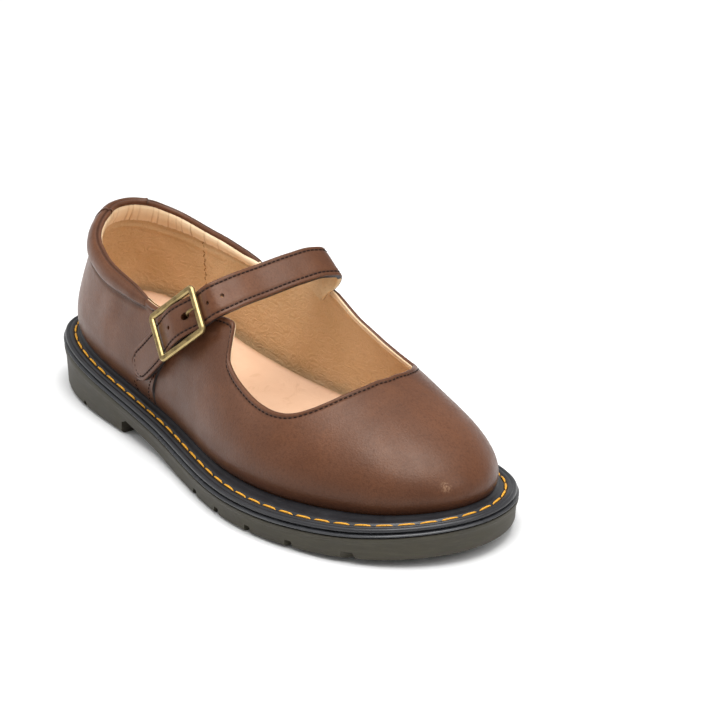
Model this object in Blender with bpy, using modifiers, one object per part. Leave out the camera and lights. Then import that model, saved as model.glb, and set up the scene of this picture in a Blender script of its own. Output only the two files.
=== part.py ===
"""Mary jane shoe for the right foot: a leather upper with a buckled strap on a welted rubber sole.

Metres, +Z up, the toe along +X and the buckle side along -Y. The origin lies on the floor under the middle
of the sole. A place on the upper is given by its share of the way round the feather line, from the back of
the heel along the buckle side, and by an angle that is 0 at the feather line and 90 degrees on the crest.
"""
import math

import bmesh
import bpy
import numpy as np
from mathutils import Vector

# Driving dimensions
LENGTH = 0.270
BALL_WIDTH = 0.1065
FOREFOOT_SOLE = 0.0092
HEEL_RISE = 0.0132
TOE_SPRING = 0.0062
INSTEP_HEIGHT = 0.105
HEEL_LEAN = 0.0126
INWARD_LEAN = 0.0046
WALL = 0.0020
STRAP_WIDTH = 0.0154
STRAP_THICKNESS = 0.0026
GAP = 0.0003

# Sole
WELT_HEIGHT = 0.0040
WELT_STRIP = 0.0019
GROOVE_INSET = 0.0055
GROOVE_HALF_WIDTH = 0.0010
GROOVE_DEPTH = 0.0007
WELT_LIP = 0.0008
LUG_DEPTH = 0.0034
LUG_REACH = 0.013

# Upper
HEEL_FAN = 0.16
TOE_FAN = 0.64
BULGE = 0.0030
BULGE_HEIGHT = 0.014
FLARE_HEIGHT = 0.050
QUARTER_STEP = 0.0011
PAD_WIDTH = 0.0120
PAD_BULGE = 0.0026
PAD_TAPER = 0.130
PAD_CLEARANCE = 0.0006
PAD_START = -0.170
PAD_END = 0.171
BINDING_REACH = 0.034

# Buckle
BUCKLE_ALONG = 0.444
BUCKLE_HEIGHT = 0.0622
BUCKLE_TURN = 41.8
FRAME_WIDTH = 0.0224
FRAME_LENGTH = 0.0300
FRAME_CORNER = 0.0018
FRAME_BAR = 0.0028
FRAME_THICKNESS = 0.0018
FRAME_STANDOFF = 0.0046
BAR_WIRE = 0.0012
BAR_STANDOFF = 0.0010
PRONG_WIRE = 0.0012
STRAP_HOLE = 0.0030
STRAP_CLEARANCE = 0.0005
CHAPE_WIDTH = 0.0110
CHAPE_THICKNESS = 0.0008


def table(columns, *rows):
    """Named columns of a short table."""
    return dict(zip(columns.split(), np.array(rows, float).T))


# Outline of the sole's edge, from the back of the heel round the buckle side
OUTLINE = table(
    "along across",
    (0.000, 0.000), (0.013, -0.148), (0.056, -0.250), (0.140, -0.332), (0.260, -0.371), (0.400, -0.404),
    (0.550, -0.490), (0.680, -0.537), (0.800, -0.494), (0.900, -0.384), (0.965, -0.226), (1.000, 0.031),
    (0.973, 0.250), (0.915, 0.385), (0.830, 0.455), (0.730, 0.473), (0.600, 0.425), (0.450, 0.345),
    (0.300, 0.322), (0.160, 0.325), (0.055, 0.255), (0.013, 0.150),
)
# Height of the rubber's top edge, as shares of the heel rise and the toe spring
SOLE_LINE = table(
    "along heel toe",
    (0.00, 1.00, 0.00), (0.12, 0.80, 0.00), (0.25, 0.49, 0.00), (0.38, 0.19, 0.00), (0.50, 0.05, 0.00),
    (0.62, 0.00, 0.00), (0.74, 0.00, 0.06), (0.87, 0.00, 0.36), (1.00, 0.00, 1.00),
)
# How far the upper stands in from the sole's edge
INSET = table(
    "along outer inner",
    (0.00, 0.0080, 0.0080), (0.10, 0.0090, 0.0080), (0.30, 0.0100, 0.0075), (0.50, 0.0100, 0.0080),
    (0.70, 0.0132, 0.0092), (0.85, 0.0148, 0.0090), (1.00, 0.0128, 0.0105),
)
# Height of the footbed's edge over the welt
FOOTBED_LINE = table("along rise", (0.00, 0.0110), (0.35, 0.0110), (0.60, 0.0080), (1.00, 0.0055))
# Sections of the last: spine, crest height as a share of the instep, roundness in plan, steepness of the walls
SECTIONS = table(
    "along spine crest plan outer inner",
    (0.00, 0.000, 1.000, 2.20, 2.90, 2.90),
    (0.16, 0.000, 1.000, 2.20, 2.90, 2.90),
    (0.28, 0.010, 0.980, 2.20, 2.90, 3.00),
    (0.40, 0.040, 0.840, 2.30, 2.65, 3.50),
    (0.50, 0.060, 0.700, 2.45, 2.22, 4.60),
    (0.60, 0.060, 0.560, 2.50, 2.30, 3.60),
    (0.70, 0.040, 0.450, 2.35, 2.30, 2.80),
    (0.80, 0.025, 0.380, 2.20, 2.25, 2.40),
    (0.90, 0.020, 0.342, 2.25, 2.15, 2.20),
    (1.00, 0.020, 0.302, 2.35, 2.05, 2.10),
)
# How far the quarters stand out at ankle height
FLARE = table(
    "along outer inner",
    (0.00, 0.0000, 0.0000), (0.06, 0.0000, 0.0000), (0.14, 0.0014, 0.0014), (0.25, 0.0044, 0.0048),
    (0.36, 0.0044, 0.0050), (0.45, 0.0020, 0.0044), (0.50, 0.0010, 0.0032), (0.60, 0.0000, 0.0000),
    (1.00, 0.0000, 0.0000),
)
# The opening's edge
TOPLINE = table(
    "around angle",
    (0.000, 25.3), (0.030, 24.7), (0.062, 23.0), (0.090, 21.0), (0.120, 19.5), (0.150, 19.3), (0.175, 21.2),
    (0.192, 25.5), (0.206, 32.5), (0.222, 40.0), (0.240, 47.0), (0.250, 51.0), (0.256, 52.5), (0.262, 47.0),
    (0.266, 42.2), (0.270, 39.6), (0.286, 38.0), (0.304, 37.7), (0.322, 38.4), (0.340, 40.8), (0.352, 44.0),
    (0.365, 48.8), (0.385, 56.1), (0.410, 62.9), (0.450, 69.0), (0.500, 72.3), (0.540, 71.5), (0.590, 66.4),
    (0.615, 61.2), (0.640, 53.6), (0.655, 47.8), (0.668, 44.2), (0.690, 42.0), (0.710, 41.5), (0.730, 40.5),
    (0.745, 37.5), (0.752, 34.5), (0.758, 33.5), (0.766, 34.5), (0.774, 35.0), (0.781, 33.5), (0.788, 28.0),
    (0.797, 24.0), (0.812, 21.5), (0.832, 20.0), (0.850, 19.4), (0.880, 19.6), (0.910, 20.8), (0.940, 22.5),
    (0.970, 24.7),
)
# Front edge of the outer quarter where it laps over the vamp
QUARTER_EDGE = table("level around", (0.0, 0.180), (0.3, 0.186), (0.6, 0.200), (1.0, 0.228))


def read(rows, column, at):
    """A smooth curve through one column against the first, without overshoot."""
    xs = next(iter(rows.values()))
    ys = rows[column]
    slope = np.diff(ys) / np.diff(xs)
    step = np.diff(xs)
    tangent = np.concatenate([slope[:1], np.zeros(len(xs) - 2), slope[-1:]])
    for i in range(1, len(xs) - 1):
        if slope[i - 1] * slope[i] > 0:
            before, after = 2 * step[i] + step[i - 1], step[i] + 2 * step[i - 1]
            tangent[i] = (before + after) / (before / slope[i - 1] + after / slope[i])
    at = np.asarray(at, float)
    k = np.clip(np.searchsorted(xs, at, "right") - 1, 0, len(xs) - 2)
    h = step[k]
    t = np.clip((at - xs[k]) / h, 0, 1)
    ends = (2 * t**3 - 3 * t**2 + 1) * ys[k] + (3 * t**2 - 2 * t**3) * ys[k + 1]
    return ends + h * ((t**3 - 2 * t**2 + t) * tangent[k] + (t**3 - t**2) * tangent[k + 1])


def closed_spline(points, count):
    """A smooth closed curve through the points, sampled evenly."""
    points = np.asarray(points, float)
    m = len(points)
    step = np.linalg.norm(np.roll(points, -1, 0) - points, axis=1)
    knots = np.concatenate([[0], np.cumsum(step)])
    matrix = np.zeros((m, m))
    right = np.zeros((m, points.shape[1]))
    for i in range(m):
        before, after = step[i - 1], step[i]
        matrix[i, i - 1] += before
        matrix[i, i] += 2 * (before + after)
        matrix[i, (i + 1) % m] += after
        rise = (points[(i + 1) % m] - points[i]) / after
        right[i] = 6 * (rise - (points[i] - points[i - 1]) / before)
    bend = np.linalg.solve(matrix, right)
    s = np.linspace(0, knots[-1], count, endpoint=False)
    k = np.clip(np.searchsorted(knots, s, "right") - 1, 0, m - 1)
    h = step[k][:, None]
    a = (knots[k + 1] - s)[:, None]
    b = (s - knots[k])[:, None]
    p0, p1 = points[k], points[(k + 1) % m]
    m0, m1 = bend[k], bend[(k + 1) % m]
    return m0 * a**3 / (6 * h) + m1 * b**3 / (6 * h) + (p0 / h - m0 * h / 6) * a + (p1 / h - m1 * h / 6) * b


def open_spline(points, count):
    """A smooth open curve through the points, sampled evenly along its length."""
    points = np.asarray(points, float)
    knots = run_length(points)
    tangent = np.gradient(points, knots, axis=0)
    fine = np.linspace(0, knots[-1], 40 * len(points))
    k = np.clip(np.searchsorted(knots, fine, "right") - 1, 0, len(knots) - 2)
    h = (knots[k + 1] - knots[k])[:, None]
    t = (fine - knots[k])[:, None] / h
    curve = (2 * t**3 - 3 * t**2 + 1) * points[k] + (3 * t**2 - 2 * t**3) * points[k + 1]
    curve += h * ((t**3 - 2 * t**2 + t) * tangent[k] + (t**3 - t**2) * tangent[k + 1])
    run = run_length(curve)
    at = np.linspace(0, run[-1], count)
    return np.stack([np.interp(at, run, curve[:, i]) for i in range(points.shape[1])], 1)


def share(x):
    """Share of the length at x."""
    return np.asarray(x) / LENGTH + 0.5


def outward(loop):
    """Outward normals of a closed flat loop that runs from the heel along -Y."""
    run = np.roll(loop, -1, 0) - np.roll(loop, 1, 0)
    run /= np.linalg.norm(run, axis=1)[:, None]
    return np.stack([run[:, 1], -run[:, 0]], 1)


def sole_loop(count):
    points = np.stack([(OUTLINE["along"] - 0.5) * LENGTH, OUTLINE["across"] * BALL_WIDTH], 1)
    return closed_spline(points, count)


def rubber_top(x):
    """Height of the rubber's top edge."""
    at = share(x)
    return FOREFOOT_SOLE + HEEL_RISE * read(SOLE_LINE, "heel", at) + TOE_SPRING * read(SOLE_LINE, "toe", at)


def tread_line(x):
    """Height of the tread: flat at heel and ball, rising under the toe."""
    return 0.75 * TOE_SPRING * read(SOLE_LINE, "toe", share(x))


def welt_top(x):
    return rubber_top(x) + WELT_HEIGHT


def inner_side(y):
    """0 on the buckle side and 1 on the inner side, blended over the toe and heel."""
    return 0.5 + 0.5 * np.clip(y / 0.02, -1, 1)


def feather_loop(count):
    """The line where the upper meets the welt."""
    loop = sole_loop(count)
    inner = inner_side(loop[:, 1])
    at = share(loop[:, 0])
    inset = read(INSET, "outer", at) * (1 - inner) + read(INSET, "inner", at) * inner
    return loop - outward(loop) * inset[:, None]


FINE = 1440
FEATHER = feather_loop(FINE)


def feather_at(around):
    """Points of the feather line at shares of the way round."""
    at = np.asarray(around, float) % 1.0 * FINE
    k = np.floor(at).astype(int)
    t = (at - k)[:, None]
    return FEATHER[k % FINE] * (1 - t) + FEATHER[(k + 1) % FINE] * t


def last_surface(around, angle, out=0.0):
    """Points of the upper's outer face; out moves them off the face, level with the floor."""
    foot = feather_at(around)
    angle = np.radians(np.asarray(angle, float))
    heel, toe = (HEEL_FAN - 0.5) * LENGTH, (TOE_FAN - 0.5) * LENGTH
    spine_x = np.clip(foot[:, 0], heel, toe)
    spine = np.stack([spine_x, read(SECTIONS, "spine", share(spine_x)) * BALL_WIDTH], 1)
    reach = foot - spine
    inner = 0.5 + 0.5 * np.clip(reach[:, 1] / 0.012, -1, 1)
    flat = foot.copy()
    for _ in range(3):
        at = share(flat[:, 0])
        plan = np.maximum(np.cos(angle), 0) ** (2 / read(SECTIONS, "plan", at))
        steep = read(SECTIONS, "outer", at) * (1 - inner) + read(SECTIONS, "inner", at) * inner
        flat = spine + reach * plan[:, None]
    rise = INSTEP_HEIGHT * read(SECTIONS, "crest", share(flat[:, 0])) * np.sin(angle) ** (2 / steep)
    away = reach / np.maximum(np.linalg.norm(reach, axis=1), 1e-9)[:, None]
    bulge = BULGE * rise / BULGE_HEIGHT * np.exp(1 - rise / BULGE_HEIGHT)
    at = share(foot[:, 0])
    flare = read(FLARE, "outer", at) * (1 - inner) + read(FLARE, "inner", at) * inner
    flare = flare * np.clip(rise / FLARE_HEIGHT, 0, 1.2) ** 1.2
    flat = flat + away * (bulge + flare + out)[:, None]
    back = np.clip((heel - foot[:, 0]) / 0.03, 0, 1)
    high = np.clip(rise / 0.06, 0, 1.2)
    flat[:, 0] += HEEL_LEAN * high**1.6 * back
    flat[:, 1] += INWARD_LEAN * high * np.clip((0.60 - share(flat[:, 0])) / 0.25, 0, 1) * (1 - inner)
    return np.column_stack([flat, welt_top(flat[:, 0]) + rise])


def topline(around):
    """Angle of the opening's edge."""
    rows = {
        "around": np.concatenate([TOPLINE["around"] - 1, TOPLINE["around"], TOPLINE["around"] + 1]),
        "angle": np.tile(TOPLINE["angle"], 3),
    }
    return read(rows, "angle", np.asarray(around, float) % 1.0)


def make(name, bm, material):
    """An object from a bmesh, with its faces pointing out."""
    bmesh.ops.recalc_face_normals(bm, faces=bm.faces)
    mesh = bpy.data.meshes.new(name)
    bm.to_mesh(mesh)
    bm.free()
    mesh.shade_smooth()
    mesh.set_sharp_from_angle(angle=math.radians(40))
    obj = bpy.data.objects.new(name, mesh)
    obj.data.materials.append(material)
    PARTS.objects.link(obj)
    return obj


def skin(rings, closed_rings=True, closed_run=False, caps=False):
    """A bmesh lofted through equal rings of points."""
    bm = bmesh.new()
    verts = [[bm.verts.new(Vector(p) + SHIFT) for p in ring] for ring in rings]
    steps = len(rings) if closed_run else len(rings) - 1
    count = len(rings[0])
    for i in range(steps):
        low, high = verts[i], verts[(i + 1) % len(rings)]
        for j in range(count if closed_rings else count - 1):
            k = (j + 1) % count
            bm.faces.new((low[j], low[k], high[k], high[j]))
    if caps:
        for ring in (verts[0], verts[-1]):
            half = count // 2
            for j in range(half):
                a, b = ring[j], ring[j + 1]
                c, d = ring[(count - j - 1) % count], ring[(count - j) % count]
                corners = [v for n, v in enumerate((a, b, c, d)) if v not in (a, b, c, d)[:n]]
                if len(corners) > 2:
                    bm.faces.new(corners)
    return bm


def material(name, colour, roughness, metallic=0.0):
    mat = bpy.data.materials.new(name)
    mat.use_nodes = True
    shader = mat.node_tree.nodes["Principled BSDF"]
    shader.inputs["Base Color"].default_value = (*colour, 1)
    shader.inputs["Roughness"].default_value = roughness
    shader.inputs["Metallic"].default_value = metallic
    return mat


def collection(name):
    made = bpy.data.collections.new(name)
    bpy.context.scene.collection.children.link(made)
    return made


# Sole

def sole_ring(count, inset, height):
    """A ring of the sole: the outline moved in, at a height for each point."""
    loop = sole_loop(count)
    loop = loop - outward(loop) * inset
    return np.column_stack([loop, height(loop[:, 0])])


def outsole():
    """Rubber unit: sloped side with a lip at the top and a bevelled tread edge."""
    count = 96
    profile = table(
        "inset rise",
        (0.0058, 0.00), (0.0024, 0.00), (0.0014, 0.12), (0.0012, 0.45), (0.0008, 0.80), (0.0002, 0.84),
        (0.0002, 1.00), (0.0060, 1.00),
    )
    rings = []
    for inset, rise in zip(profile["inset"], profile["rise"]):
        def height(x, rise=rise):
            return tread_line(x) * (1 - rise) + rubber_top(x) * rise
        rings.append(sole_ring(count, inset, height))
    sole = make("outsole", skin(rings, caps=True), RUBBER)
    cut(sole, arch_cutter())
    cut(sole, lug_cutter())
    return sole


def arch_cutter():
    """The hollow under the waist, from the heel's breast to the ball."""
    profile = table(
        "along height",
        (0.288, -0.0040), (0.293, 0.0058), (0.306, 0.0076), (0.340, 0.0062), (0.400, 0.0040), (0.470, 0.0016),
        (0.530, 0.0002), (0.550, -0.0040),
    )
    reach = BALL_WIDTH
    rings = []
    for y in (-reach, reach):
        x = (profile["along"] - 0.5) * LENGTH
        rings.append(np.column_stack([x, np.full_like(x, y), profile["height"]]))
    return cutter("arch_cutter", skin(rings, caps=True))


def lug_cutter():
    """Grooves across the tread at both edges, which leave the lugs between them."""
    grooves = table(
        "along outer width slant",
        (0.050, 1, 0.0050, 0.4), (0.165, 1, 0.0050, 0.1), (0.060, 0, 0.0050, -0.4), (0.165, 0, 0.0050, -0.1),
        (0.560, 1, 0.0052, 0.1), (0.635, 1, 0.0056, 0.1), (0.715, 1, 0.0058, -0.1), (0.795, 1, 0.0058, -0.35),
        (0.885, 1, 0.0062, -0.8), (0.560, 0, 0.0052, -0.1), (0.640, 0, 0.0056, 0.0), (0.725, 0, 0.0058, 0.1),
        (0.810, 0, 0.0058, 0.35), (0.890, 0, 0.0062, 0.8),
    )
    bm = bmesh.new()
    fine = sole_loop(FINE)
    for along, outer, width, slant in zip(*grooves.values()):
        x = (along - 0.5) * LENGTH
        side = -1 if outer else 1
        half = fine[fine[:, 1] * side > 0]
        edge = half[np.abs(half[:, 0] - x).argmin()]
        made = bmesh.ops.create_cube(bm, size=1.0)["verts"]
        for v in made:
            across = (v.co.y * 2 * LUG_REACH)
            v.co = Vector((
                edge[0] + v.co.x * width * (1.0 - 0.5 * (v.co.z + 0.5)) + across * slant * side * 0.5,
                edge[1] + across,
                float(tread_line(x)) + (v.co.z - 0.5) * 0.006 + LUG_DEPTH,
            )) + SHIFT
    return cutter("lug_cutter", bm)


def cutter(name, bm):
    """A hidden body that only cuts others."""
    bmesh.ops.recalc_face_normals(bm, faces=bm.faces)
    mesh = bpy.data.meshes.new(name)
    bm.to_mesh(mesh)
    bm.free()
    obj = bpy.data.objects.new(name, mesh)
    obj.hide_render = True
    obj.display_type = "WIRE"
    CUTTERS.objects.link(obj)
    return obj


def cut(obj, tool):
    boolean = obj.modifiers.new(tool.name, "BOOLEAN")
    boolean.operation = "DIFFERENCE"
    boolean.solver = "EXACT"
    boolean.object = tool


def midsole():
    """Black plate between the rubber and the welt, with a rounded lip."""
    def level(share_up):
        low, high = GAP, WELT_HEIGHT - WELT_STRIP - GAP
        return lambda x: rubber_top(x) + low + (high - low) * share_up
    profile = table("inset rise", (0.0014, 0.0), (0.0002, 0.25), (0.0002, 0.7), (0.0010, 1.0))
    rings = [sole_ring(96, inset, level(rise)) for inset, rise in zip(profile["inset"], profile["rise"])]
    return make("midsole", skin(rings, caps=True), BLACK)


def welt():
    """Strip round the upper with a stitching groove in its top."""
    count = 96
    loop = sole_loop(count)
    away = outward(loop)
    feather = feather_loop(count)
    inner_edge = np.linalg.norm(loop - feather, axis=1) - GAP
    low, top = WELT_HEIGHT - WELT_STRIP, WELT_HEIGHT
    section = table(
        "inset rise",
        (0.0016, low), (0.0010, low + 0.0005), (0.0012, top - 0.0005), (0.0022, top),
        (GROOVE_INSET - GROOVE_HALF_WIDTH, top), (GROOVE_INSET, top - GROOVE_DEPTH),
        (GROOVE_INSET + GROOVE_HALF_WIDTH, top),
    )
    rings = []
    for inset, rise in zip(section["inset"], section["rise"]):
        flat = loop - away * inset
        rings.append(np.column_stack([flat, rubber_top(flat[:, 0]) + rise]))
    for rise, clear in ((top + WELT_LIP, 2 * GAP), (low, 0)):
        flat = loop - away * (inner_edge - clear)[:, None]
        rings.append(np.column_stack([flat, rubber_top(flat[:, 0]) + rise]))
    return make("welt", skin(rings, closed_run=True), BLACK)


def insole():
    """Footbed inside the upper, with its edge turned up a little round the heel."""
    count = 72
    at = np.arange(count) / count
    rings = []
    for inset, rise in ((WALL + 0.0035, 0.0), (WALL + 0.0012, 0.2), (WALL + 0.0009, 1.0), (WALL + 0.0090, 0.93)):
        foot = feather_at(at)
        away = outward(feather_at(at))
        flat = foot - away * inset
        base = rubber_top(flat[:, 0]) + WELT_HEIGHT - WELT_STRIP + GAP
        top = welt_top(flat[:, 0]) + read(FOOTBED_LINE, "rise", share(flat[:, 0]))
        rings.append(np.column_stack([flat, base * (1 - rise) + top * rise]))
    return make("insole", skin(rings, caps=True), FOOTBED)


# Upper

def ring_shares(count):
    """Shares round the upper, closer together where the opening's edge turns."""
    fine = np.arange(FINE) / FINE
    low = np.column_stack([feather_at(fine), np.zeros(FINE)])
    high = last_surface(fine, topline(fine))
    run = [np.linalg.norm(np.roll(line, -1, 0) - line, axis=1) for line in (low, high)]
    weight = np.concatenate([[0], np.cumsum(run[0] / run[0].sum() + 1.3 * run[1] / run[1].sum())])
    return np.interp(np.arange(count) / count * weight[-1], weight, np.arange(FINE + 1) / FINE)


def quarter_shift(around, level):
    """Bends the rings behind the buckle so that two of them follow the quarter's front edge."""
    foot = QUARTER_EDGE["around"][0]
    near = np.clip(1 - np.abs(around - foot) / 0.055, 0, 1)
    near = near**2 * (3 - 2 * near)
    return around + near * (read(QUARTER_EDGE, "around", level) - foot)


def quarter_step(around):
    """Extra thickness of the quarter, fading towards the heel."""
    return QUARTER_STEP * np.clip((np.asarray(around) - 0.04) / 0.08, 0, 1)


def upper():
    """One open shell from the feather line to the opening's edge."""
    shares = ring_shares(96)
    foot = QUARTER_EDGE["around"][0]
    k = np.abs(shares - foot).argmin()
    shares[k] = foot
    shares = np.sort(np.append(shares, foot + 0.0016))
    behind = shares < foot + 1e-6
    rings = []
    first = last_surface(quarter_shift(shares, 0.0), np.zeros(len(shares)))
    first[:, 2] -= WELT_STRIP - GAP
    rings.append(first)
    for level in np.linspace(0, 1, 9):
        at = quarter_shift(shares, level)
        angle = topline(at) * level**1.4
        out = quarter_step(at) * behind * min(1, 4 * level)
        rings.append(last_surface(at, angle, out))
    shell = make("upper", skin(rings), LEATHER)
    wall = shell.modifiers.new("wall", "SOLIDIFY")
    wall.thickness = WALL
    wall.offset = -1
    wall.use_even_offset = False
    wall.use_quality_normals = True
    return shell


def wall(around, angle):
    """Points of the outer face round the heel, with the quarter's extra thickness."""
    return last_surface(around, angle, quarter_step(around))


def edge_frame(around):
    """Points just on the opening's edge with their outward normals and the way down the wall."""
    angle = topline(around)
    edge = wall(around, angle)
    down = wall(around, angle - 1.5) - edge
    down /= np.linalg.norm(down, axis=1)[:, None]
    run = wall(around + 0.002, topline(around + 0.002)) - edge
    run /= np.linalg.norm(run, axis=1)[:, None]
    normal = np.cross(down, run)
    normal /= np.linalg.norm(normal, axis=1)[:, None]
    return edge, down, normal


def wrapped(name, around, section, swell, mat):
    """A roll over the opening's edge: section points are (down, out), swell scales them at each station."""
    edge, down, normal = edge_frame(around)
    rings = []
    for i in range(len(around)):
        ring = []
        for drop, out in section(swell[i]):
            base = wall_below(around[i], drop) if drop > 0 else edge[i] + down[i] * drop
            ring.append(base + normal[i] * out)
        rings.append(ring)
    return make(name, skin(rings, caps=True), mat)


def wall_below(around, drop):
    """The point of the outer face a given drop below the opening's edge."""
    angles = np.maximum(topline([around])[0] - np.linspace(0, 14, 29), 0.0)
    line = wall(np.full(len(angles), around), angles)
    run = run_length(line)
    return np.array([np.interp(drop, run, line[:, i]) for i in range(3)])


def pad_section(size):
    """Section of the padded collar: outside bulge, crest and turned-in lining edge."""
    wide, fat = PAD_WIDTH * (0.22 + 0.78 * size), PAD_BULGE * (0.28 + 0.72 * size)
    clear = PAD_CLEARANCE
    inside = -(WALL + clear)
    return [
        (wide, clear), (wide - 0.0006, clear + 0.35 * fat), (wide * 0.72, clear + 0.9 * fat),
        (wide * 0.36, clear + fat), (0.0004, clear + 0.75 * fat), (-0.0018, 0.2 * fat), (-0.0024, -0.5 * WALL),
        (-0.0018, -WALL - 0.0006), (0.0006, inside - 0.0014), (0.0040, inside - 0.0013), (0.0046, inside),
        (-0.0004, inside), (-0.0004, clear),
    ]


def collar():
    """Padded collar from the outer quarter round the heel to the inner quarter."""
    around = np.linspace(PAD_START, PAD_END, 40)
    ends = np.minimum(around - PAD_START, PAD_END - around) / PAD_TAPER
    size = np.clip(ends, 0, 1) ** 0.8
    return wrapped("collar", around, pad_section, size, LEATHER)


def binding_section(size):
    """Section of the strip that covers the collar's joint at the back."""
    lift, thick = GAP, 0.0009
    outer = pad_section(1.0)[:9]
    inner_line = [(d - (lift if d < 0 else 0), o + (lift if n < 6 else -lift)) for n, (d, o) in enumerate(outer)]
    skin_line = [(d - (lift + thick if d < 0 else 0), o + (lift + thick if n < 6 else -lift - thick))
                 for n, (d, o) in enumerate(outer)]
    return skin_line + inner_line[::-1]


def heel_binding():
    around = np.linspace(-BINDING_REACH, BINDING_REACH, 9)
    return wrapped("heel_binding", around, binding_section, np.ones(9), LEATHER)


# Strap and buckle

# The strap's free part in the buckle's own directions: forward from the middle bar, across, and lift off the
# wall. It lies under the frame's rear and front bars and over the middle one.
STRAP_TAIL = table(
    "forward across lift",
    (-0.0440, 0.0012, 0.0006),
    (-0.0360, 0.0016, 0.0006),
    (-0.0280, 0.0015, 0.0006),
    (-0.0200, 0.0010, 0.0006),
    (-0.0155, 0.0004, 0.0007),
    (-0.0115, 0.0002, 0.0009),
    (-0.0085, 0.0000, 0.0018),
    (-0.0045, 0.0000, 0.0032),
    (0.0000, 0.0000, 0.0039),
    (0.0045, 0.0000, 0.0032),
    (0.0085, 0.0000, 0.0018),
    (0.0115, 0.0000, 0.0009),
    (0.0142, 0.0000, 0.0006),
)
TAIL_LENGTH = STRAP_TAIL["forward"][-1] - STRAP_TAIL["forward"][0]
# Middle line of the strap's inner face over the instep, to its root inside the inner quarter
STRAP_LINE = table(
    "along across height",
    (0.4945, -0.262, 0.0748),
    (0.503, -0.178, 0.0777),
    (0.506, -0.040, 0.0794),
    (0.512, 0.110, 0.0815),
    (0.514, 0.220, 0.0817),
    (0.512, 0.278, 0.0795),
    (0.506, 0.282, 0.0764),
    (0.496, 0.241, 0.0718),
    (0.490, 0.230, 0.0690),
)
STRAP_TILT = table("along tilt", (0.0, 0.78), (0.45, 0.73), (0.55, 0.69), (0.75, 0.64), (1.0, 0.64))


def wall_y(x, z):
    """Across position of the quarter's outer face at x and z, on the buckle side of the waist."""
    around = np.interp(x, FEATHER[: FINE // 3, 0], np.arange(FINE // 3) / FINE)
    angles = np.linspace(0, 80, 161)
    line = last_surface(np.full(161, around), angles, QUARTER_STEP)
    return float(np.interp(z, line[:, 2], line[:, 1]))


def wall_point(x, z):
    return np.array([x, wall_y(x, z), z])


def buckle_axes():
    """Origin just off the quarter under the middle bar, and the across, forward and outward directions."""
    x, z = (BUCKLE_ALONG - 0.5) * LENGTH, BUCKLE_HEIGHT
    turn = math.radians(BUCKLE_TURN)
    reach = FRAME_LENGTH / 2
    step = reach * math.cos(turn), reach * math.sin(turn)
    forward = wall_point(x + step[0], z + step[1]) - wall_point(x - step[0], z - step[1])
    forward /= np.linalg.norm(forward)
    across = wall_point(x + step[1], z - step[0]) - wall_point(x - step[1], z + step[0])
    across -= forward * np.dot(across, forward)
    across /= np.linalg.norm(across)
    out = np.cross(across, forward)
    middle = wall_point(x, z)
    rise = 0.0
    for a in np.linspace(-0.5, 0.5, 7) * STRAP_WIDTH:
        for b in np.linspace(-0.5, 0.5, 7) * FRAME_LENGTH:
            p = middle + across * a + forward * b
            rise = max(rise, float(np.dot(wall_point(p[0], p[2]) - middle, out)))
    return middle + out * rise, across, forward, out


def placed(points):
    """Points given as across, forward and out, set in the buckle's place."""
    origin, across, forward, out = buckle_axes()
    return [origin + across * a + forward * b + out * c for a, b, c in points]


def run_length(points):
    """Length along a line of points at each of them."""
    return np.concatenate([[0], np.cumsum(np.linalg.norm(np.diff(points, axis=0), axis=1))])


def strap_frame(count):
    """Middle points, across vectors and outward normals along the strap's inner face."""
    origin, side, forward, out = buckle_axes()
    points = []
    for b, a, lift in zip(*STRAP_TAIL.values()):
        p = origin + forward * b + side * a
        foot = wall_point(p[0], p[2]) if b < -FRAME_LENGTH / 2 else p
        points.append(foot + out * lift)
    for along, across, height in zip(*STRAP_LINE.values()):
        points.append(((along - 0.5) * LENGTH, across * BALL_WIDTH, height))
    middle = open_spline(points, count)
    tilt = read(STRAP_TILT, "tilt", np.linspace(0, 1, count))
    run = np.gradient(middle, axis=0)
    run /= np.linalg.norm(run, axis=1)[:, None]
    past = np.clip((run_length(middle) - TAIL_LENGTH) / STRAP_WIDTH, 0, 1)[:, None]
    across = np.stack([np.cos(tilt), np.zeros(count), -np.sin(tilt)], 1) * past + side * (1 - past)
    across -= run * np.sum(across * run, 1)[:, None]
    across /= np.linalg.norm(across, axis=1)[:, None]
    return middle, across, np.cross(across, run)


def strap():
    """The strap from its free end on the quarter, over the instep, to its root inside the inner quarter."""
    count = 60
    middle, across, normal = strap_frame(count)
    length = run_length(middle)
    tip = np.clip(length / (STRAP_WIDTH * 0.55), 0, 1)
    half = STRAP_WIDTH / 2 * (0.34 + 0.66 * np.sqrt(1 - (1 - tip) ** 2))
    section = table(
        "side lift",
        (-0.93, 0.0), (-1.0, 0.20), (-1.0, 0.80), (-0.93, 1.0), (0.0, 1.0), (0.93, 1.0), (1.0, 0.80),
        (1.0, 0.20), (0.93, 0.0), (0.0, 0.0),
    )
    tail = length < TAIL_LENGTH
    rings = []
    for i in range(count):
        ring = []
        for side, lift in zip(section["side"], section["lift"]):
            p = middle[i] + across[i] * side * half[i]
            if tail[i]:
                p[1] = min(p[1], wall_y(p[0], p[2]) - STRAP_CLEARANCE)
            ring.append(p + normal[i] * lift * STRAP_THICKNESS)
        rings.append(ring)
    band = make("strap", skin(rings, caps=True), LEATHER)
    cut(band, tool(wire("hole_cutter", placed(HOLE_PATH), STRAP_HOLE, STRAP_HOLE, False)))
    return band


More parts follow.
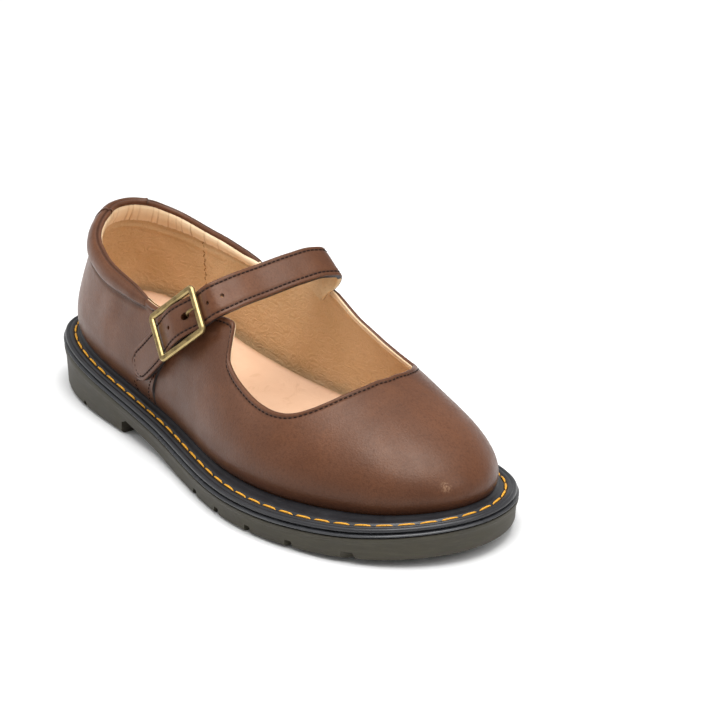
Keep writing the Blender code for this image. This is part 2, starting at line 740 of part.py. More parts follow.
def wire(name, path, width, thickness, closed):
    """A bar of oval section along a path of points: width lies level with the buckle, thickness stands out."""
    path = np.asarray(path, float)
    if closed:
        run = np.roll(path, -1, 0) - np.roll(path, 1, 0)
    else:
        run = np.gradient(path, axis=0)
    run /= np.linalg.norm(run, axis=1)[:, None]
    out = buckle_axes()[3]
    side_axis = buckle_axes()[1]
    turn = (np.arange(8) + 0.5) / 8 * 2 * math.pi
    rings = []
    for point, lead in zip(path, run):
        level = np.cross(lead, out)
        if np.linalg.norm(level) < 0.5 or not closed:
            level = side_axis - lead * np.dot(side_axis, lead)
            if np.linalg.norm(level) < 0.5:
                level = np.cross(lead, out)
        level /= np.linalg.norm(level)
        up = np.cross(level, lead)
        rings.append([point + width / 2 * math.cos(t) * level + thickness / 2 * math.sin(t) * up
                      for t in turn])
    return make(name, skin(rings, closed_run=closed, caps=not closed), BRASS)


def tool(obj):
    """Moves a body to the cutters."""
    PARTS.objects.unlink(obj)
    CUTTERS.objects.link(obj)
    obj.hide_render = True
    obj.display_type = "WIRE"
    return obj


def buckle_frame():
    """Rounded rectangle of flat brass bar with a thin bar across its middle, sunk under the strap."""
    half_w, half_l, r = (FRAME_WIDTH - FRAME_BAR) / 2, (FRAME_LENGTH - FRAME_BAR) / 2, FRAME_CORNER
    path = []
    for sx, sy, start in ((1, 1, 0), (-1, 1, 90), (-1, -1, 180), (1, -1, 270)):
        for turn in (0, 30, 60, 90):
            angle = math.radians(start + turn)
            path.append((sx * (half_w - r) + r * math.cos(angle), sy * (half_l - r) + r * math.sin(angle),
                         FRAME_STANDOFF))
    frame = wire("buckle_frame", placed(path), FRAME_BAR, FRAME_THICKNESS, True)
    bar = []
    for a, drop in ((-1.0, 0.0), (-0.93, 0.7), (-0.86, 1.0), (0.86, 1.0), (0.93, 0.7), (1.0, 0.0)):
        bar.append((half_w * a, 0, FRAME_STANDOFF + drop * (BAR_STANDOFF - FRAME_STANDOFF)))
    union = frame.modifiers.new("middle_bar", "BOOLEAN")
    union.operation = "UNION"
    union.solver = "EXACT"
    union.object = tool(wire("middle_bar_tool", placed(bar), BAR_WIRE, BAR_WIRE, False))
    return frame


# Forward and out: over the middle bar, under the strap, up through its hole and on to the front bar
PRONG_LINE = table(
    "forward out",
    (-0.00145, 0.0010), (-0.0013, 0.0018), (-0.0007, 0.00228), (0.0000, 0.00245), (0.0010, 0.0023),
    (0.0030, 0.0018), (0.0048, 0.0018), (0.0062, 0.0027), (0.0073, 0.0042), (0.0086, 0.0058),
    (0.0102, 0.0066), (0.0120, 0.0066), (0.0134, 0.0063),
)
HOLE_PATH = [(0, 0.0048, -0.0010), (0, 0.0062, 0.0026), (0, 0.0098, 0.0072)]


def prong():
    path = [(0, b, c) for b, c in zip(*PRONG_LINE.values())]
    return wire("buckle_prong", placed(path), PRONG_WIRE, PRONG_WIRE, False)


def chape():
    """Leather loop on the quarter that holds the buckle's middle bar, slotted for the prong."""
    line = table(
        "forward out",
        (-0.0075, 0.0002), (-0.0050, 0.0003), (-0.0030, 0.0008), (-0.0014, 0.0017), (0.0000, 0.0020),
        (0.0014, 0.0017), (0.0030, 0.0008), (0.0050, 0.0003), (0.0075, 0.0002),
    )
    half = CHAPE_WIDTH / 2
    rings = []
    for b, c in zip(*line.values()):
        rings.append(placed([(-half, b, c), (half, b, c), (half, b, c + CHAPE_THICKNESS),
                             (-half, b, c + CHAPE_THICKNESS)]))
    loop = make("buckle_chape", skin(rings, caps=True), LEATHER)
    slot = PRONG_WIRE / 2 + GAP
    box = [placed([(-slot, b, -0.002), (slot, b, -0.002), (slot, b, 0.006), (-slot, b, 0.006)])
           for b in (-0.0026, 0.0100)]
    cut(loop, cutter("slot_cutter", skin(box, caps=True)))
    return loop


PARTS = CUTTERS = None
SHIFT = Vector((0, 0, 0))


def main():
    global PARTS, CUTTERS, SHIFT, RUBBER, BLACK, FOOTBED, LEATHER, BRASS
    for obj in list(bpy.data.objects):
        bpy.data.objects.remove(obj, do_unlink=True)
    PARTS, CUTTERS = collection("mary_jane_shoe"), collection("cutters")
    loop = sole_loop(FINE)
    middle = (loop.min(0) + loop.max(0)) / 2
    SHIFT = Vector((-middle[0], -middle[1], 0))
    RUBBER = material("olive_rubber", (0.060, 0.054, 0.036), 0.75)
    BLACK = material("black_welt", (0.020, 0.020, 0.021), 0.45)
    FOOTBED = material("tan_footbed", (0.62, 0.40, 0.24), 0.65)
    LEATHER = material("brown_leather", (0.150, 0.062, 0.032), 0.40)
    BRASS = material("aged_brass", (0.42, 0.33, 0.16), 0.38, 0.9)
    outsole()
    midsole()
    welt()
    insole()
    upper()
    collar()
    heel_binding()
    strap()
    buckle_frame()
    prong()
    chape()


main()
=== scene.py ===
"""Looks of the mary jane shoe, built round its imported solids.

The shoe's surfaces come from the same sizes and tables as its solids, drawn finer and with their seams,
stitches and finishes. Metres, +Z up, the toe along +X and the buckle side along -Y.
"""
import math

import bmesh
import bpy
import numpy as np
from mathutils import Matrix, Vector


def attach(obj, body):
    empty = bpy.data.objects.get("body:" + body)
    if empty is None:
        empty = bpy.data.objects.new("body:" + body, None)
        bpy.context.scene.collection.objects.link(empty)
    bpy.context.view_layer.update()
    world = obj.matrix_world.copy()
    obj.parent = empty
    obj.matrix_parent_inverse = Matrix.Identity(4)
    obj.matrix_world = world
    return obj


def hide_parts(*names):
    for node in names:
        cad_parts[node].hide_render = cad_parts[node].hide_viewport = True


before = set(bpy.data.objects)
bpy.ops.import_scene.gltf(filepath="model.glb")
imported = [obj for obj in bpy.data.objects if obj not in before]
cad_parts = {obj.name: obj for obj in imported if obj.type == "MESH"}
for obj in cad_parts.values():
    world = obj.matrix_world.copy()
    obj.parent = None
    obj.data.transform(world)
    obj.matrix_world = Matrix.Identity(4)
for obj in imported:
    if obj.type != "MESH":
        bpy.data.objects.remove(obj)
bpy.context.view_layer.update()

LENGTH = 0.270
BALL_WIDTH = 0.1065
FOREFOOT_SOLE = 0.0092
HEEL_RISE = 0.0132
TOE_SPRING = 0.0062
INSTEP_HEIGHT = 0.105
HEEL_LEAN = 0.0126
INWARD_LEAN = 0.0046
WALL = 0.0020
STRAP_WIDTH = 0.0154
STRAP_THICKNESS = 0.0026
GAP = 0.0003
WELT_HEIGHT = 0.0040
WELT_STRIP = 0.0019
GROOVE_INSET = 0.0055
LUG_DEPTH = 0.0034
LUG_REACH = 0.013
HEEL_FAN = 0.16
TOE_FAN = 0.64
BULGE = 0.0030
BULGE_HEIGHT = 0.014
FLARE_HEIGHT = 0.050
LEAN_HEIGHT = 0.060
GIRTH = 0.64
QUARTER_STEP = 0.0011
PAD_WIDTH = 0.0120
PAD_BULGE = 0.0026
PAD_TAPER = 0.130
PAD_CLEARANCE = 0.0006
PAD_START = -0.170
PAD_END = 0.171
BINDING_REACH = 0.034
BUCKLE_ALONG = 0.444
BUCKLE_HEIGHT = 0.0622
BUCKLE_TURN = 41.8
FRAME_WIDTH = 0.0224
FRAME_LENGTH = 0.0300
FRAME_CORNER = 0.0018
FRAME_BAR = 0.0028
FRAME_THICKNESS = 0.0018
FRAME_STANDOFF = 0.0046
BAR_WIRE = 0.0012
BAR_STANDOFF = 0.0010
STRAP_CLEARANCE = 0.0005


def table(columns, *rows):
    """Named columns of a short table."""
    return dict(zip(columns.split(), np.array(rows, float).T))


# Outline of the sole's edge, from the back of the heel round the buckle side
OUTLINE = table(
    "along across",
    (0.000, 0.000), (0.013, -0.148), (0.056, -0.250), (0.140, -0.332), (0.260, -0.371), (0.400, -0.404),
    (0.550, -0.490), (0.680, -0.537), (0.800, -0.494), (0.900, -0.384), (0.965, -0.226), (1.000, 0.031),
    (0.973, 0.250), (0.915, 0.385), (0.830, 0.455), (0.730, 0.473), (0.600, 0.425), (0.450, 0.345),
    (0.300, 0.322), (0.160, 0.325), (0.055, 0.255), (0.013, 0.150),
)
# Height of the rubber's top edge, as shares of the heel rise and the toe spring
SOLE_LINE = table(
    "along heel toe",
    (0.00, 1.00, 0.00), (0.12, 0.80, 0.00), (0.25, 0.49, 0.00), (0.38, 0.19, 0.00), (0.50, 0.05, 0.00),
    (0.62, 0.00, 0.00), (0.74, 0.00, 0.06), (0.87, 0.00, 0.36), (1.00, 0.00, 1.00),
)
# How far the upper stands in from the sole's edge
INSET = table(
    "along outer inner",
    (0.00, 0.0080, 0.0080), (0.10, 0.0090, 0.0080), (0.30, 0.0100, 0.0075), (0.50, 0.0100, 0.0080),
    (0.70, 0.0132, 0.0092), (0.85, 0.0148, 0.0090), (1.00, 0.0128, 0.0105),
)
# Height of the footbed's edge over the welt
FOOTBED_LINE = table("along rise", (0.00, 0.0110), (0.35, 0.0110), (0.60, 0.0080), (1.00, 0.0055))
# Sections of the last: spine, crest as a share of the instep, roundness in plan, steepness of the walls
SECTIONS = table(
    "along spine crest plan outer inner",
    (0.00, 0.000, 1.000, 2.20, 2.90, 2.90),
    (0.16, 0.000, 1.000, 2.20, 2.90, 2.90),
    (0.28, 0.010, 0.980, 2.20, 2.90, 3.00),
    (0.40, 0.040, 0.840, 2.30, 2.65, 3.50),
    (0.50, 0.060, 0.700, 2.45, 2.22, 4.60),
    (0.60, 0.060, 0.560, 2.50, 2.30, 3.60),
    (0.70, 0.040, 0.450, 2.35, 2.30, 2.80),
    (0.80, 0.025, 0.380, 2.20, 2.25, 2.40),
    (0.90, 0.020, 0.342, 2.25, 2.15, 2.20),
    (1.00, 0.020, 0.302, 2.35, 2.05, 2.10),
)
# How far the quarters stand out at ankle height
FLARE = table(
    "along outer inner",
    (0.00, 0.0000, 0.0000), (0.06, 0.0000, 0.0000), (0.14, 0.0014, 0.0014), (0.25, 0.0044, 0.0048),
    (0.36, 0.0044, 0.0050), (0.45, 0.0020, 0.0044), (0.50, 0.0010, 0.0032), (0.60, 0.0000, 0.0000),
    (1.00, 0.0000, 0.0000),
)
# The opening's edge
TOPLINE = table(
    "around angle",
    (0.000, 25.3), (0.030, 24.7), (0.062, 23.0), (0.090, 21.0), (0.120, 19.5), (0.150, 19.3), (0.175, 21.2),
    (0.192, 25.5), (0.206, 32.5), (0.222, 40.0), (0.240, 47.0), (0.250, 51.0), (0.256, 52.5), (0.262, 47.0),
    (0.266, 42.2), (0.270, 39.6), (0.286, 38.0), (0.304, 37.7), (0.322, 38.4), (0.340, 40.8), (0.352, 44.0),
    (0.365, 48.8), (0.385, 56.1), (0.410, 62.9), (0.450, 69.0), (0.500, 72.3), (0.540, 71.5), (0.590, 66.4),
    (0.615, 61.2), (0.640, 53.6), (0.655, 47.8), (0.668, 44.2), (0.690, 42.0), (0.710, 41.5), (0.730, 40.5),
    (0.745, 37.5), (0.752, 34.5), (0.758, 33.5), (0.766, 34.5), (0.774, 35.0), (0.781, 33.5), (0.788, 28.0),
    (0.797, 24.0), (0.812, 21.5), (0.832, 20.0), (0.850, 19.4), (0.880, 19.6), (0.910, 20.8), (0.940, 22.5),
    (0.970, 24.7),
)
# Front edge of the outer quarter where it laps over the vamp
QUARTER_EDGE = table("level around", (0.0, 0.180), (0.3, 0.186), (0.6, 0.200), (1.0, 0.228))


def unit(vectors):
    """The same directions, one long."""
    return vectors / np.linalg.norm(vectors, axis=-1, keepdims=True)


def hermite(t, step, ends, slopes):
    """Cubic over a step, from its two end values and their slopes."""
    level = (2 * t**3 - 3 * t**2 + 1) * ends[0] + (3 * t**2 - 2 * t**3) * ends[1]
    return level + step * ((t**3 - 2 * t**2 + t) * slopes[0] + (t**3 - t**2) * slopes[1])


def read(rows, column, at):
    """A smooth curve through one column against the first, without overshoot."""
    xs, ys = next(iter(rows.values())), rows[column]
    step = np.diff(xs)
    slope = np.diff(ys) / step
    tangent = np.concatenate([slope[:1], np.zeros(len(xs) - 2), slope[-1:]])
    for i in range(1, len(xs) - 1):
        if slope[i - 1] * slope[i] > 0:
            before, after = 2 * step[i] + step[i - 1], step[i] + 2 * step[i - 1]
            tangent[i] = (before + after) / (before / slope[i - 1] + after / slope[i])
    at = np.asarray(at, float)
    k = np.clip(np.searchsorted(xs, at, "right") - 1, 0, len(xs) - 2)
    t = np.clip((at - xs[k]) / step[k], 0, 1)
    return hermite(t, step[k], (ys[k], ys[k + 1]), (tangent[k], tangent[k + 1]))


def closed_spline(points, count):
    """A smooth closed curve through the points, sampled evenly."""
    points = np.asarray(points, float)
    m = len(points)
    step = np.linalg.norm(np.roll(points, -1, 0) - points, axis=1)
    knots = np.concatenate([[0], np.cumsum(step)])
    matrix = np.zeros((m, m))
    right = np.zeros((m, points.shape[1]))
    for i in range(m):
        before, after = step[i - 1], step[i]
        matrix[i, i - 1] += before
        matrix[i, i] += 2 * (before + after)
        matrix[i, (i + 1) % m] += after
        rise = (points[(i + 1) % m] - points[i]) / after
        right[i] = 6 * (rise - (points[i] - points[i - 1]) / before)
    bend = np.linalg.solve(matrix, right)
    s = np.linspace(0, knots[-1], count, endpoint=False)
    k = np.clip(np.searchsorted(knots, s, "right") - 1, 0, m - 1)
    h = step[k][:, None]
    a = (knots[k + 1] - s)[:, None]
    b = (s - knots[k])[:, None]
    p0, p1 = points[k], points[(k + 1) % m]
    m0, m1 = bend[k], bend[(k + 1) % m]
    return m0 * a**3 / (6 * h) + m1 * b**3 / (6 * h) + (p0 / h - m0 * h / 6) * a + (p1 / h - m1 * h / 6) * b


def run_length(points):
    """Length along a line of points at each of them; a grid is measured down its columns."""
    step = np.linalg.norm(np.diff(points, axis=0), axis=-1)
    return np.concatenate([np.zeros_like(step[:1]), np.cumsum(step, 0)])


def point_at(at, run, line):
    """Points of a line at given lengths along it."""
    return np.stack([np.interp(at, run, column) for column in np.transpose(line)], -1)


def open_spline(points, count):
    """A smooth open curve through the points, sampled evenly along its length."""
    points = np.asarray(points, float)
    knots = run_length(points)
    tangent = np.gradient(points, knots, axis=0)
    fine = np.linspace(0, knots[-1], 40 * len(points))
    k = np.clip(np.searchsorted(knots, fine, "right") - 1, 0, len(knots) - 2)
    h = (knots[k + 1] - knots[k])[:, None]
    t = (fine - knots[k])[:, None] / h
    curve = hermite(t, h, (points[k], points[k + 1]), (tangent[k], tangent[k + 1]))
    run = run_length(curve)
    return point_at(np.linspace(0, run[-1], count), run, curve)


def share(x):
    """Share of the length at x."""
    return np.asarray(x) / LENGTH + 0.5


def x_at(along):
    """x at a share of the length."""
    return (along - 0.5) * LENGTH


def outward(loop):
    """Outward normals of a closed flat loop that runs from the heel along -Y."""
    run = unit(np.roll(loop, -1, 0) - np.roll(loop, 1, 0))
    return np.stack([run[:, 1], -run[:, 0]], 1)


def sole_loop(count):
    points = np.stack([x_at(OUTLINE["along"]), OUTLINE["across"] * BALL_WIDTH], 1)
    return closed_spline(points, count)


def rubber_top(x):
    """Height of the rubber's top edge."""
    at = share(x)
    return FOREFOOT_SOLE + HEEL_RISE * read(SOLE_LINE, "heel", at) + TOE_SPRING * read(SOLE_LINE, "toe", at)


def tread_line(x):
    """Height of the tread: flat at heel and ball, rising under the toe."""
    return 0.75 * TOE_SPRING * read(SOLE_LINE, "toe", share(x))


def welt_top(x):
    return rubber_top(x) + WELT_HEIGHT


def inner_side(y, width):
    """0 on the buckle side and 1 on the inner side, blended over this width either way."""
    return 0.5 + 0.5 * np.clip(y / width, -1, 1)


def both_sides(rows, at, inner):
    """A table's outer and inner columns, blended."""
    return read(rows, "outer", at) * (1 - inner) + read(rows, "inner", at) * inner


def feather_loop(count):
    """The line where the upper meets the welt."""
    loop = sole_loop(count)
    inset = both_sides(INSET, share(loop[:, 0]), inner_side(loop[:, 1], 0.02))
    return loop - outward(loop) * inset[:, None]


FINE = 1440
FEATHER = feather_loop(FINE)


def feather_at(around):
    """Points of the feather line at shares of the way round."""
    at = np.asarray(around, float) % 1.0 * FINE
    k = np.floor(at).astype(int)
    t = (at - k)[:, None]
    return FEATHER[k % FINE] * (1 - t) + FEATHER[(k + 1) % FINE] * t


def last_surface(around, angle, out=0.0):
    """Points of the upper's outer face; out moves them off the face, level with the floor."""
    foot = feather_at(around)
    angle = np.radians(np.asarray(angle, float))
    heel = x_at(HEEL_FAN)
    spine_x = np.clip(foot[:, 0], heel, x_at(TOE_FAN))
    spine = np.stack([spine_x, read(SECTIONS, "spine", share(spine_x)) * BALL_WIDTH], 1)
    reach = foot - spine
    inner = inner_side(reach[:, 1], 0.012)
    flat = foot
    for _ in range(3):
        at = share(flat[:, 0])
        plan = np.maximum(np.cos(angle), 0) ** (2 / read(SECTIONS, "plan", at))
        flat = spine + reach * plan[:, None]
    steep = both_sides(SECTIONS, at, inner)
    rise = INSTEP_HEIGHT * read(SECTIONS, "crest", share(flat[:, 0])) * np.sin(angle) ** (2 / steep)
    away = reach / np.maximum(np.linalg.norm(reach, axis=1), 1e-9)[:, None]
    bulge = BULGE * rise / BULGE_HEIGHT * np.exp(1 - rise / BULGE_HEIGHT)
    flare = both_sides(FLARE, share(foot[:, 0]), inner) * np.clip(rise / FLARE_HEIGHT, 0, 1.2) ** 1.2
    flat = flat + away * (bulge + flare + out)[:, None]
    high = np.clip(rise / LEAN_HEIGHT, 0, 1.2)
    flat[:, 0] += HEEL_LEAN * high**1.6 * np.clip((heel - foot[:, 0]) / 0.03, 0, 1)
    flat[:, 1] += INWARD_LEAN * high * np.clip((0.60 - share(flat[:, 0])) / 0.25, 0, 1) * (1 - inner)
    return np.column_stack([flat, welt_top(flat[:, 0]) + rise])


def topline(around):
    """Angle of the opening's edge."""
    rows = {
        "around": np.concatenate([TOPLINE["around"] - 1, TOPLINE["around"], TOPLINE["around"] + 1]),
        "angle": np.tile(TOPLINE["angle"], 3),
    }
    return read(rows, "angle", np.asarray(around, float) % 1.0)


def ring_shares(count):
    """Shares round the upper, closer together where the opening's edge turns."""
    fine = np.arange(FINE) / FINE
    low = np.column_stack([feather_at(fine), np.zeros(FINE)])
    high = last_surface(fine, topline(fine))
    run = [np.linalg.norm(np.roll(line, -1, 0) - line, axis=1) for line in (low, high)]
    weight = np.concatenate([[0], np.cumsum(run[0] / run[0].sum() + 1.3 * run[1] / run[1].sum())])
    return np.interp(np.arange(count) / count * weight[-1], weight, np.arange(FINE + 1) / FINE)


def quarter_shift(around, level):
    """Bends the rings behind the buckle so that two of them follow the quarter's front edge."""
    foot = QUARTER_EDGE["around"][0]
    near = np.clip(1 - np.abs(around - foot) / 0.055, 0, 1)
    near = near**2 * (3 - 2 * near)
    return around + near * (read(QUARTER_EDGE, "around", level) - foot)


def quarter_step(around):
    """Extra thickness of the quarter, fading towards the heel."""
    return QUARTER_STEP * np.clip((np.asarray(around) - 0.04) / 0.08, 0, 1)


def wall(around, angle):
    """Points of the outer face round the heel, with the quarter's extra thickness."""
    return last_surface(around, angle, quarter_step(around))


def edge_frame(around):
    """Points on the opening's edge, the way down the wall there and the outward normals."""
    angle = topline(around)
    edge = wall(around, angle)
    down = unit(wall(around, angle - 1.5) - edge)
    run = unit(wall(around + 0.002, topline(around + 0.002)) - edge)
    return edge, down, unit(np.cross(down, run))


def wall_line(around, reach, count):
    """Points down the outer face from the opening's edge, after the length to each of them."""
    angles = np.maximum(topline([around])[0] - np.linspace(0, reach, count), 0.0)
    line = wall(np.full(count, around), angles)
    return run_length(line), line


def off_edge(drops, around, edge, down, reach=14, count=43):
    """Points of the outer face at drops below the opening's edge; a drop under 0 goes on above the edge."""
    on_wall = point_at(drops, *wall_line(around, reach, count))
    return np.where(drops[:, None] > 0, on_wall, edge + down * drops[:, None])


# The strap's free part in the buckle's own directions: forward from the middle bar, across, and lift off the
# wall. It lies under the frame's rear and front bars and over the middle one.
STRAP_TAIL = table(
    "forward across lift",
    (-0.0440, 0.0012, 0.0006),
    (-0.0360, 0.0016, 0.0006),
    (-0.0280, 0.0015, 0.0006),
    (-0.0200, 0.0010, 0.0006),
    (-0.0155, 0.0004, 0.0007),
    (-0.0115, 0.0002, 0.0009),
    (-0.0085, 0.0000, 0.0018),
    (-0.0045, 0.0000, 0.0032),
    (0.0000, 0.0000, 0.0039),
    (0.0045, 0.0000, 0.0032),
    (0.0085, 0.0000, 0.0018),
    (0.0115, 0.0000, 0.0009),
    (0.0142, 0.0000, 0.0006),
)
TAIL_LENGTH = STRAP_TAIL["forward"][-1] - STRAP_TAIL["forward"][0]
# Middle line of the strap's inner face over the instep, to its root inside the inner quarter
STRAP_LINE = table(
    "along across height",
    (0.4945, -0.262, 0.0748),
    (0.503, -0.178, 0.0777),
    (0.506, -0.040, 0.0794),
    (0.512, 0.110, 0.0815),
    (0.514, 0.220, 0.0817),
    (0.512, 0.278, 0.0795),
    (0.506, 0.282, 0.0764),
    (0.496, 0.241, 0.0718),
    (0.490, 0.230, 0.0690),
)
STRAP_TILT = table("along tilt", (0.0, 0.78), (0.45, 0.73), (0.55, 0.69), (0.75, 0.64), (1.0, 0.64))
# Forward and out: over the middle bar, under the strap, up through its hole and on to the front bar
PRONG_LINE = table(
    "forward out",
    (-0.00145, 0.0010), (-0.0013, 0.0018), (-0.0007, 0.00228), (0.0000, 0.00245), (0.0010, 0.0023),
    (0.0030, 0.0018), (0.0048, 0.0018), (0.0062, 0.0027), (0.0073, 0.0042), (0.0086, 0.0058),
    (0.0102, 0.0066), (0.0120, 0.0066), (0.0134, 0.0063),
)


def wall_y(x, z):
    """Across position of the quarter's outer face at x and z, on the buckle side of the waist."""
    around = np.interp(x, FEATHER[: FINE // 3, 0], np.arange(FINE // 3) / FINE)
    angles = np.linspace(0, 80, 161)
    line = last_surface(np.full(161, around), angles, QUARTER_STEP)
    return float(np.interp(z, line[:, 2], line[:, 1]))


def wall_point(x, z):
    return np.array([x, wall_y(x, z), z])


def buckle_axes():
    """Origin just off the quarter under the middle bar, and the across, forward and outward directions."""
    x, z = x_at(BUCKLE_ALONG), BUCKLE_HEIGHT
    turn, reach = math.radians(BUCKLE_TURN), FRAME_LENGTH / 2
    a, b = reach * math.cos(turn), reach * math.sin(turn)
    forward = unit(wall_point(x + a, z + b) - wall_point(x - a, z - b))
    across = wall_point(x + b, z - a) - wall_point(x - b, z + a)
    across = unit(across - forward * np.dot(across, forward))
    out = np.cross(across, forward)
    middle = wall_point(x, z)
    rise = 0.0
    for a in np.linspace(-0.5, 0.5, 7) * STRAP_WIDTH:
        for b in np.linspace(-0.5, 0.5, 7) * FRAME_LENGTH:
            p = middle + across * a + forward * b
            rise = max(rise, float(np.dot(wall_point(p[0], p[2]) - middle, out)))
    return middle + out * rise, across, forward, out


AXES = buckle_axes()


def place(points):
    """Points given as across, forward and out, set in the buckle's place."""
    origin, across, forward, out = AXES
    return np.array([origin + across * a + forward * b + out * c for a, b, c in points])


def on_wall_side(point):
    """A point of the strap's free end, kept off the quarter."""
    point[1] = min(point[1], wall_y(point[0], point[2]) - STRAP_CLEARANCE)
    return point


def strap_frame(count):
    """Middle points, across vectors and outward normals along the strap's inner face."""
    origin, side, forward, out = AXES
    points = []
    for b, a, lift in zip(*STRAP_TAIL.values()):
        p = origin + forward * b + side * a
        foot = wall_point(p[0], p[2]) if b < -FRAME_LENGTH / 2 else p
        points.append(foot + out * lift)
    for along, across, height in zip(*STRAP_LINE.values()):
        points.append((x_at(along), across * BALL_WIDTH, height))
    middle = open_spline(points, count)
    tilt = read(STRAP_TILT, "tilt", np.linspace(0, 1, count))
    run = unit(np.gradient(middle, axis=0))
    past = np.clip((run_length(middle) - TAIL_LENGTH) / STRAP_WIDTH, 0, 1)[:, None]
    across = np.stack([np.cos(tilt), np.zeros(count), -np.sin(tilt)], 1) * past + side * (1 - past)
    across = unit(across - run * np.sum(across * run, 1)[:, None])
    return middle, across, np.cross(across, run)


def arch_cutter():
    """The hollow under the waist, from the heel's breast to the ball."""
    profile = table(
        "along height",
        (0.288, -0.0040), (0.293, 0.0058), (0.306, 0.0076), (0.340, 0.0062), (0.400, 0.0040), (0.470, 0.0016),
        (0.530, 0.0002), (0.550, -0.0040),
    )
    x = x_at(profile["along"])
    rings = [np.column_stack([x, np.full_like(x, y), profile["height"]]) for y in (-BALL_WIDTH, BALL_WIDTH)]
    return cutter("arch_cutter", skin(rings))


def lug_cutter():
    """Grooves across the tread at both edges, which leave the lugs between them."""
    grooves = table(
        "along outer width slant",
        (0.050, 1, 0.0050, 0.4), (0.165, 1, 0.0050, 0.1), (0.060, 0, 0.0050, -0.4), (0.165, 0, 0.0050, -0.1),
        (0.560, 1, 0.0052, 0.1), (0.635, 1, 0.0056, 0.1), (0.715, 1, 0.0058, -0.1), (0.795, 1, 0.0058, -0.35),
        (0.885, 1, 0.0062, -0.8), (0.560, 0, 0.0052, -0.1), (0.640, 0, 0.0056, 0.0), (0.725, 0, 0.0058, 0.1),
        (0.810, 0, 0.0058, 0.35), (0.890, 0, 0.0062, 0.8),
    )
    bm = bmesh.new()
    fine = sole_loop(FINE)
    for along, outer, width, slant in zip(*grooves.values()):
        x = x_at(along)
        side = -1 if outer else 1
        half = fine[fine[:, 1] * side > 0]
        edge = half[np.abs(half[:, 0] - x).argmin()]
        for v in bmesh.ops.create_cube(bm, size=1.0)["verts"]:
            across = v.co.y * 2 * LUG_REACH
            v.co = Vector((
                edge[0] + v.co.x * width * (1.0 - 0.5 * (v.co.z + 0.5)) + across * slant * side * 0.5,
                edge[1] + across,
                float(tread_line(x)) + (v.co.z - 0.5) * 0.006 + LUG_DEPTH,
            )) + SHIFT
    return cutter("lug_cutter", bm)


def outsole_profile():
    """Side of the rubber: inset from the outline and rise from the tread to the top edge."""
    return table(
        "inset rise",
        (0.0058, 0.00), (0.0034, 0.00), (0.0026, 0.02), (0.0018, 0.07), (0.0014, 0.14), (0.0013, 0.30),
        (0.0012, 0.45), (0.0010, 0.62), (0.0008, 0.78), (0.0005, 0.82), (0.0003, 0.85), (0.0002, 0.88),
        (0.0002, 0.97), (0.0005, 1.00), (0.0060, 1.00),
    )


# Making pieces

ROOT = "root"
loop = sole_loop(FINE)
MIDDLE = (loop.min(0) + loop.max(0)) / 2
SHIFT = Vector((-MIDDLE[0], -MIDDLE[1], 0))
RANDOM = np.random.RandomState(7)


def finish_mesh(name, verts, faces, mats, index=None, shade=None, sharp=50, slot=None, node=()):
    """A riding piece from points in the shoe's own frame."""
    mesh = bpy.data.meshes.new(name)
    verts = np.asarray(verts, float) + np.array(SHIFT)
    mesh.from_pydata(verts.tolist(), [], [list(map(int, f)) for f in faces])
    for mat in mats:
        mesh.materials.append(mat)
    if index is not None:
        mesh.polygons.foreach_set("material_index", np.asarray(index, np.int32))
    # The per-point attribute holds painted shade for grooves, creases, corners and seams, painted glints on
    # the brass, and some rub wear.
    if shade is not None:
        mesh.attributes.new("wear", "FLOAT", "POINT").data.foreach_set("value", np.asarray(shade, np.float32))
    bm = bmesh.new()
    bm.from_mesh(mesh)
    bmesh.ops.recalc_face_normals(bm, faces=bm.faces)
    bm.to_mesh(mesh)
    bm.free()
    mesh.shade_smooth()
    mesh.set_sharp_from_angle(angle=math.radians(sharp))
    obj = bpy.data.objects.new(name, mesh)
    bpy.context.scene.collection.objects.link(obj)
    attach(obj, ROOT)
    if node:
        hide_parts(*node)
    return obj


def loft_faces(n, m, around, along, caps):
    i = np.arange(n if along else n - 1)[:, None]
    j = np.arange(m if around else m - 1)[None, :]
    k, i2 = (j + 1) % m, (i + 1) % n
    quads = np.stack([i * m + j, i * m + k, i2 * m + k, i2 * m + j], -1).reshape(-1, 4).tolist()
    if caps:
        quads.append(list(range(m)))
        quads.append(list(range((n - 1) * m, n * m)))
    return quads


def loft(name, rings, mats, around=True, along=False, caps=False, zone=None, shade=None, **more):
    """A surface through equal rings; zone gives a material index for each step of each ring."""
    rings = np.asarray(rings, float)
    n, m = rings.shape[:2]
    faces = loft_faces(n, m, around, along, caps)
    index = None
    if zone is not None:
        index = np.asarray(zone).reshape(-1).tolist()
        index += [0] * (len(faces) - len(index))
    values = None if shade is None else np.asarray(shade, float).reshape(-1)
    return finish_mesh(name, rings.reshape(-1, 3), faces, mats, index, values, **more)


def grid_normals(grid):
    """Normals of a grid of points whose rows are closed."""
    run = np.roll(grid, -1, 1) - np.roll(grid, 1, 1)
    normal = np.cross(run, np.gradient(grid, axis=0))
    return normal / np.maximum(np.linalg.norm(normal, axis=2), 1e-12)[..., None]


# One stitch: place as a share of its length, thickness and dip as shares of its width
STITCH = table(
    "place fat dip",
    (-0.5, 0.35, -0.55), (-0.38, 0.85, -0.12), (-0.15, 1.0, 0.0), (0.15, 1.0, 0.0), (0.38, 0.85, -0.12),
    (0.5, 0.35, -0.55),
)


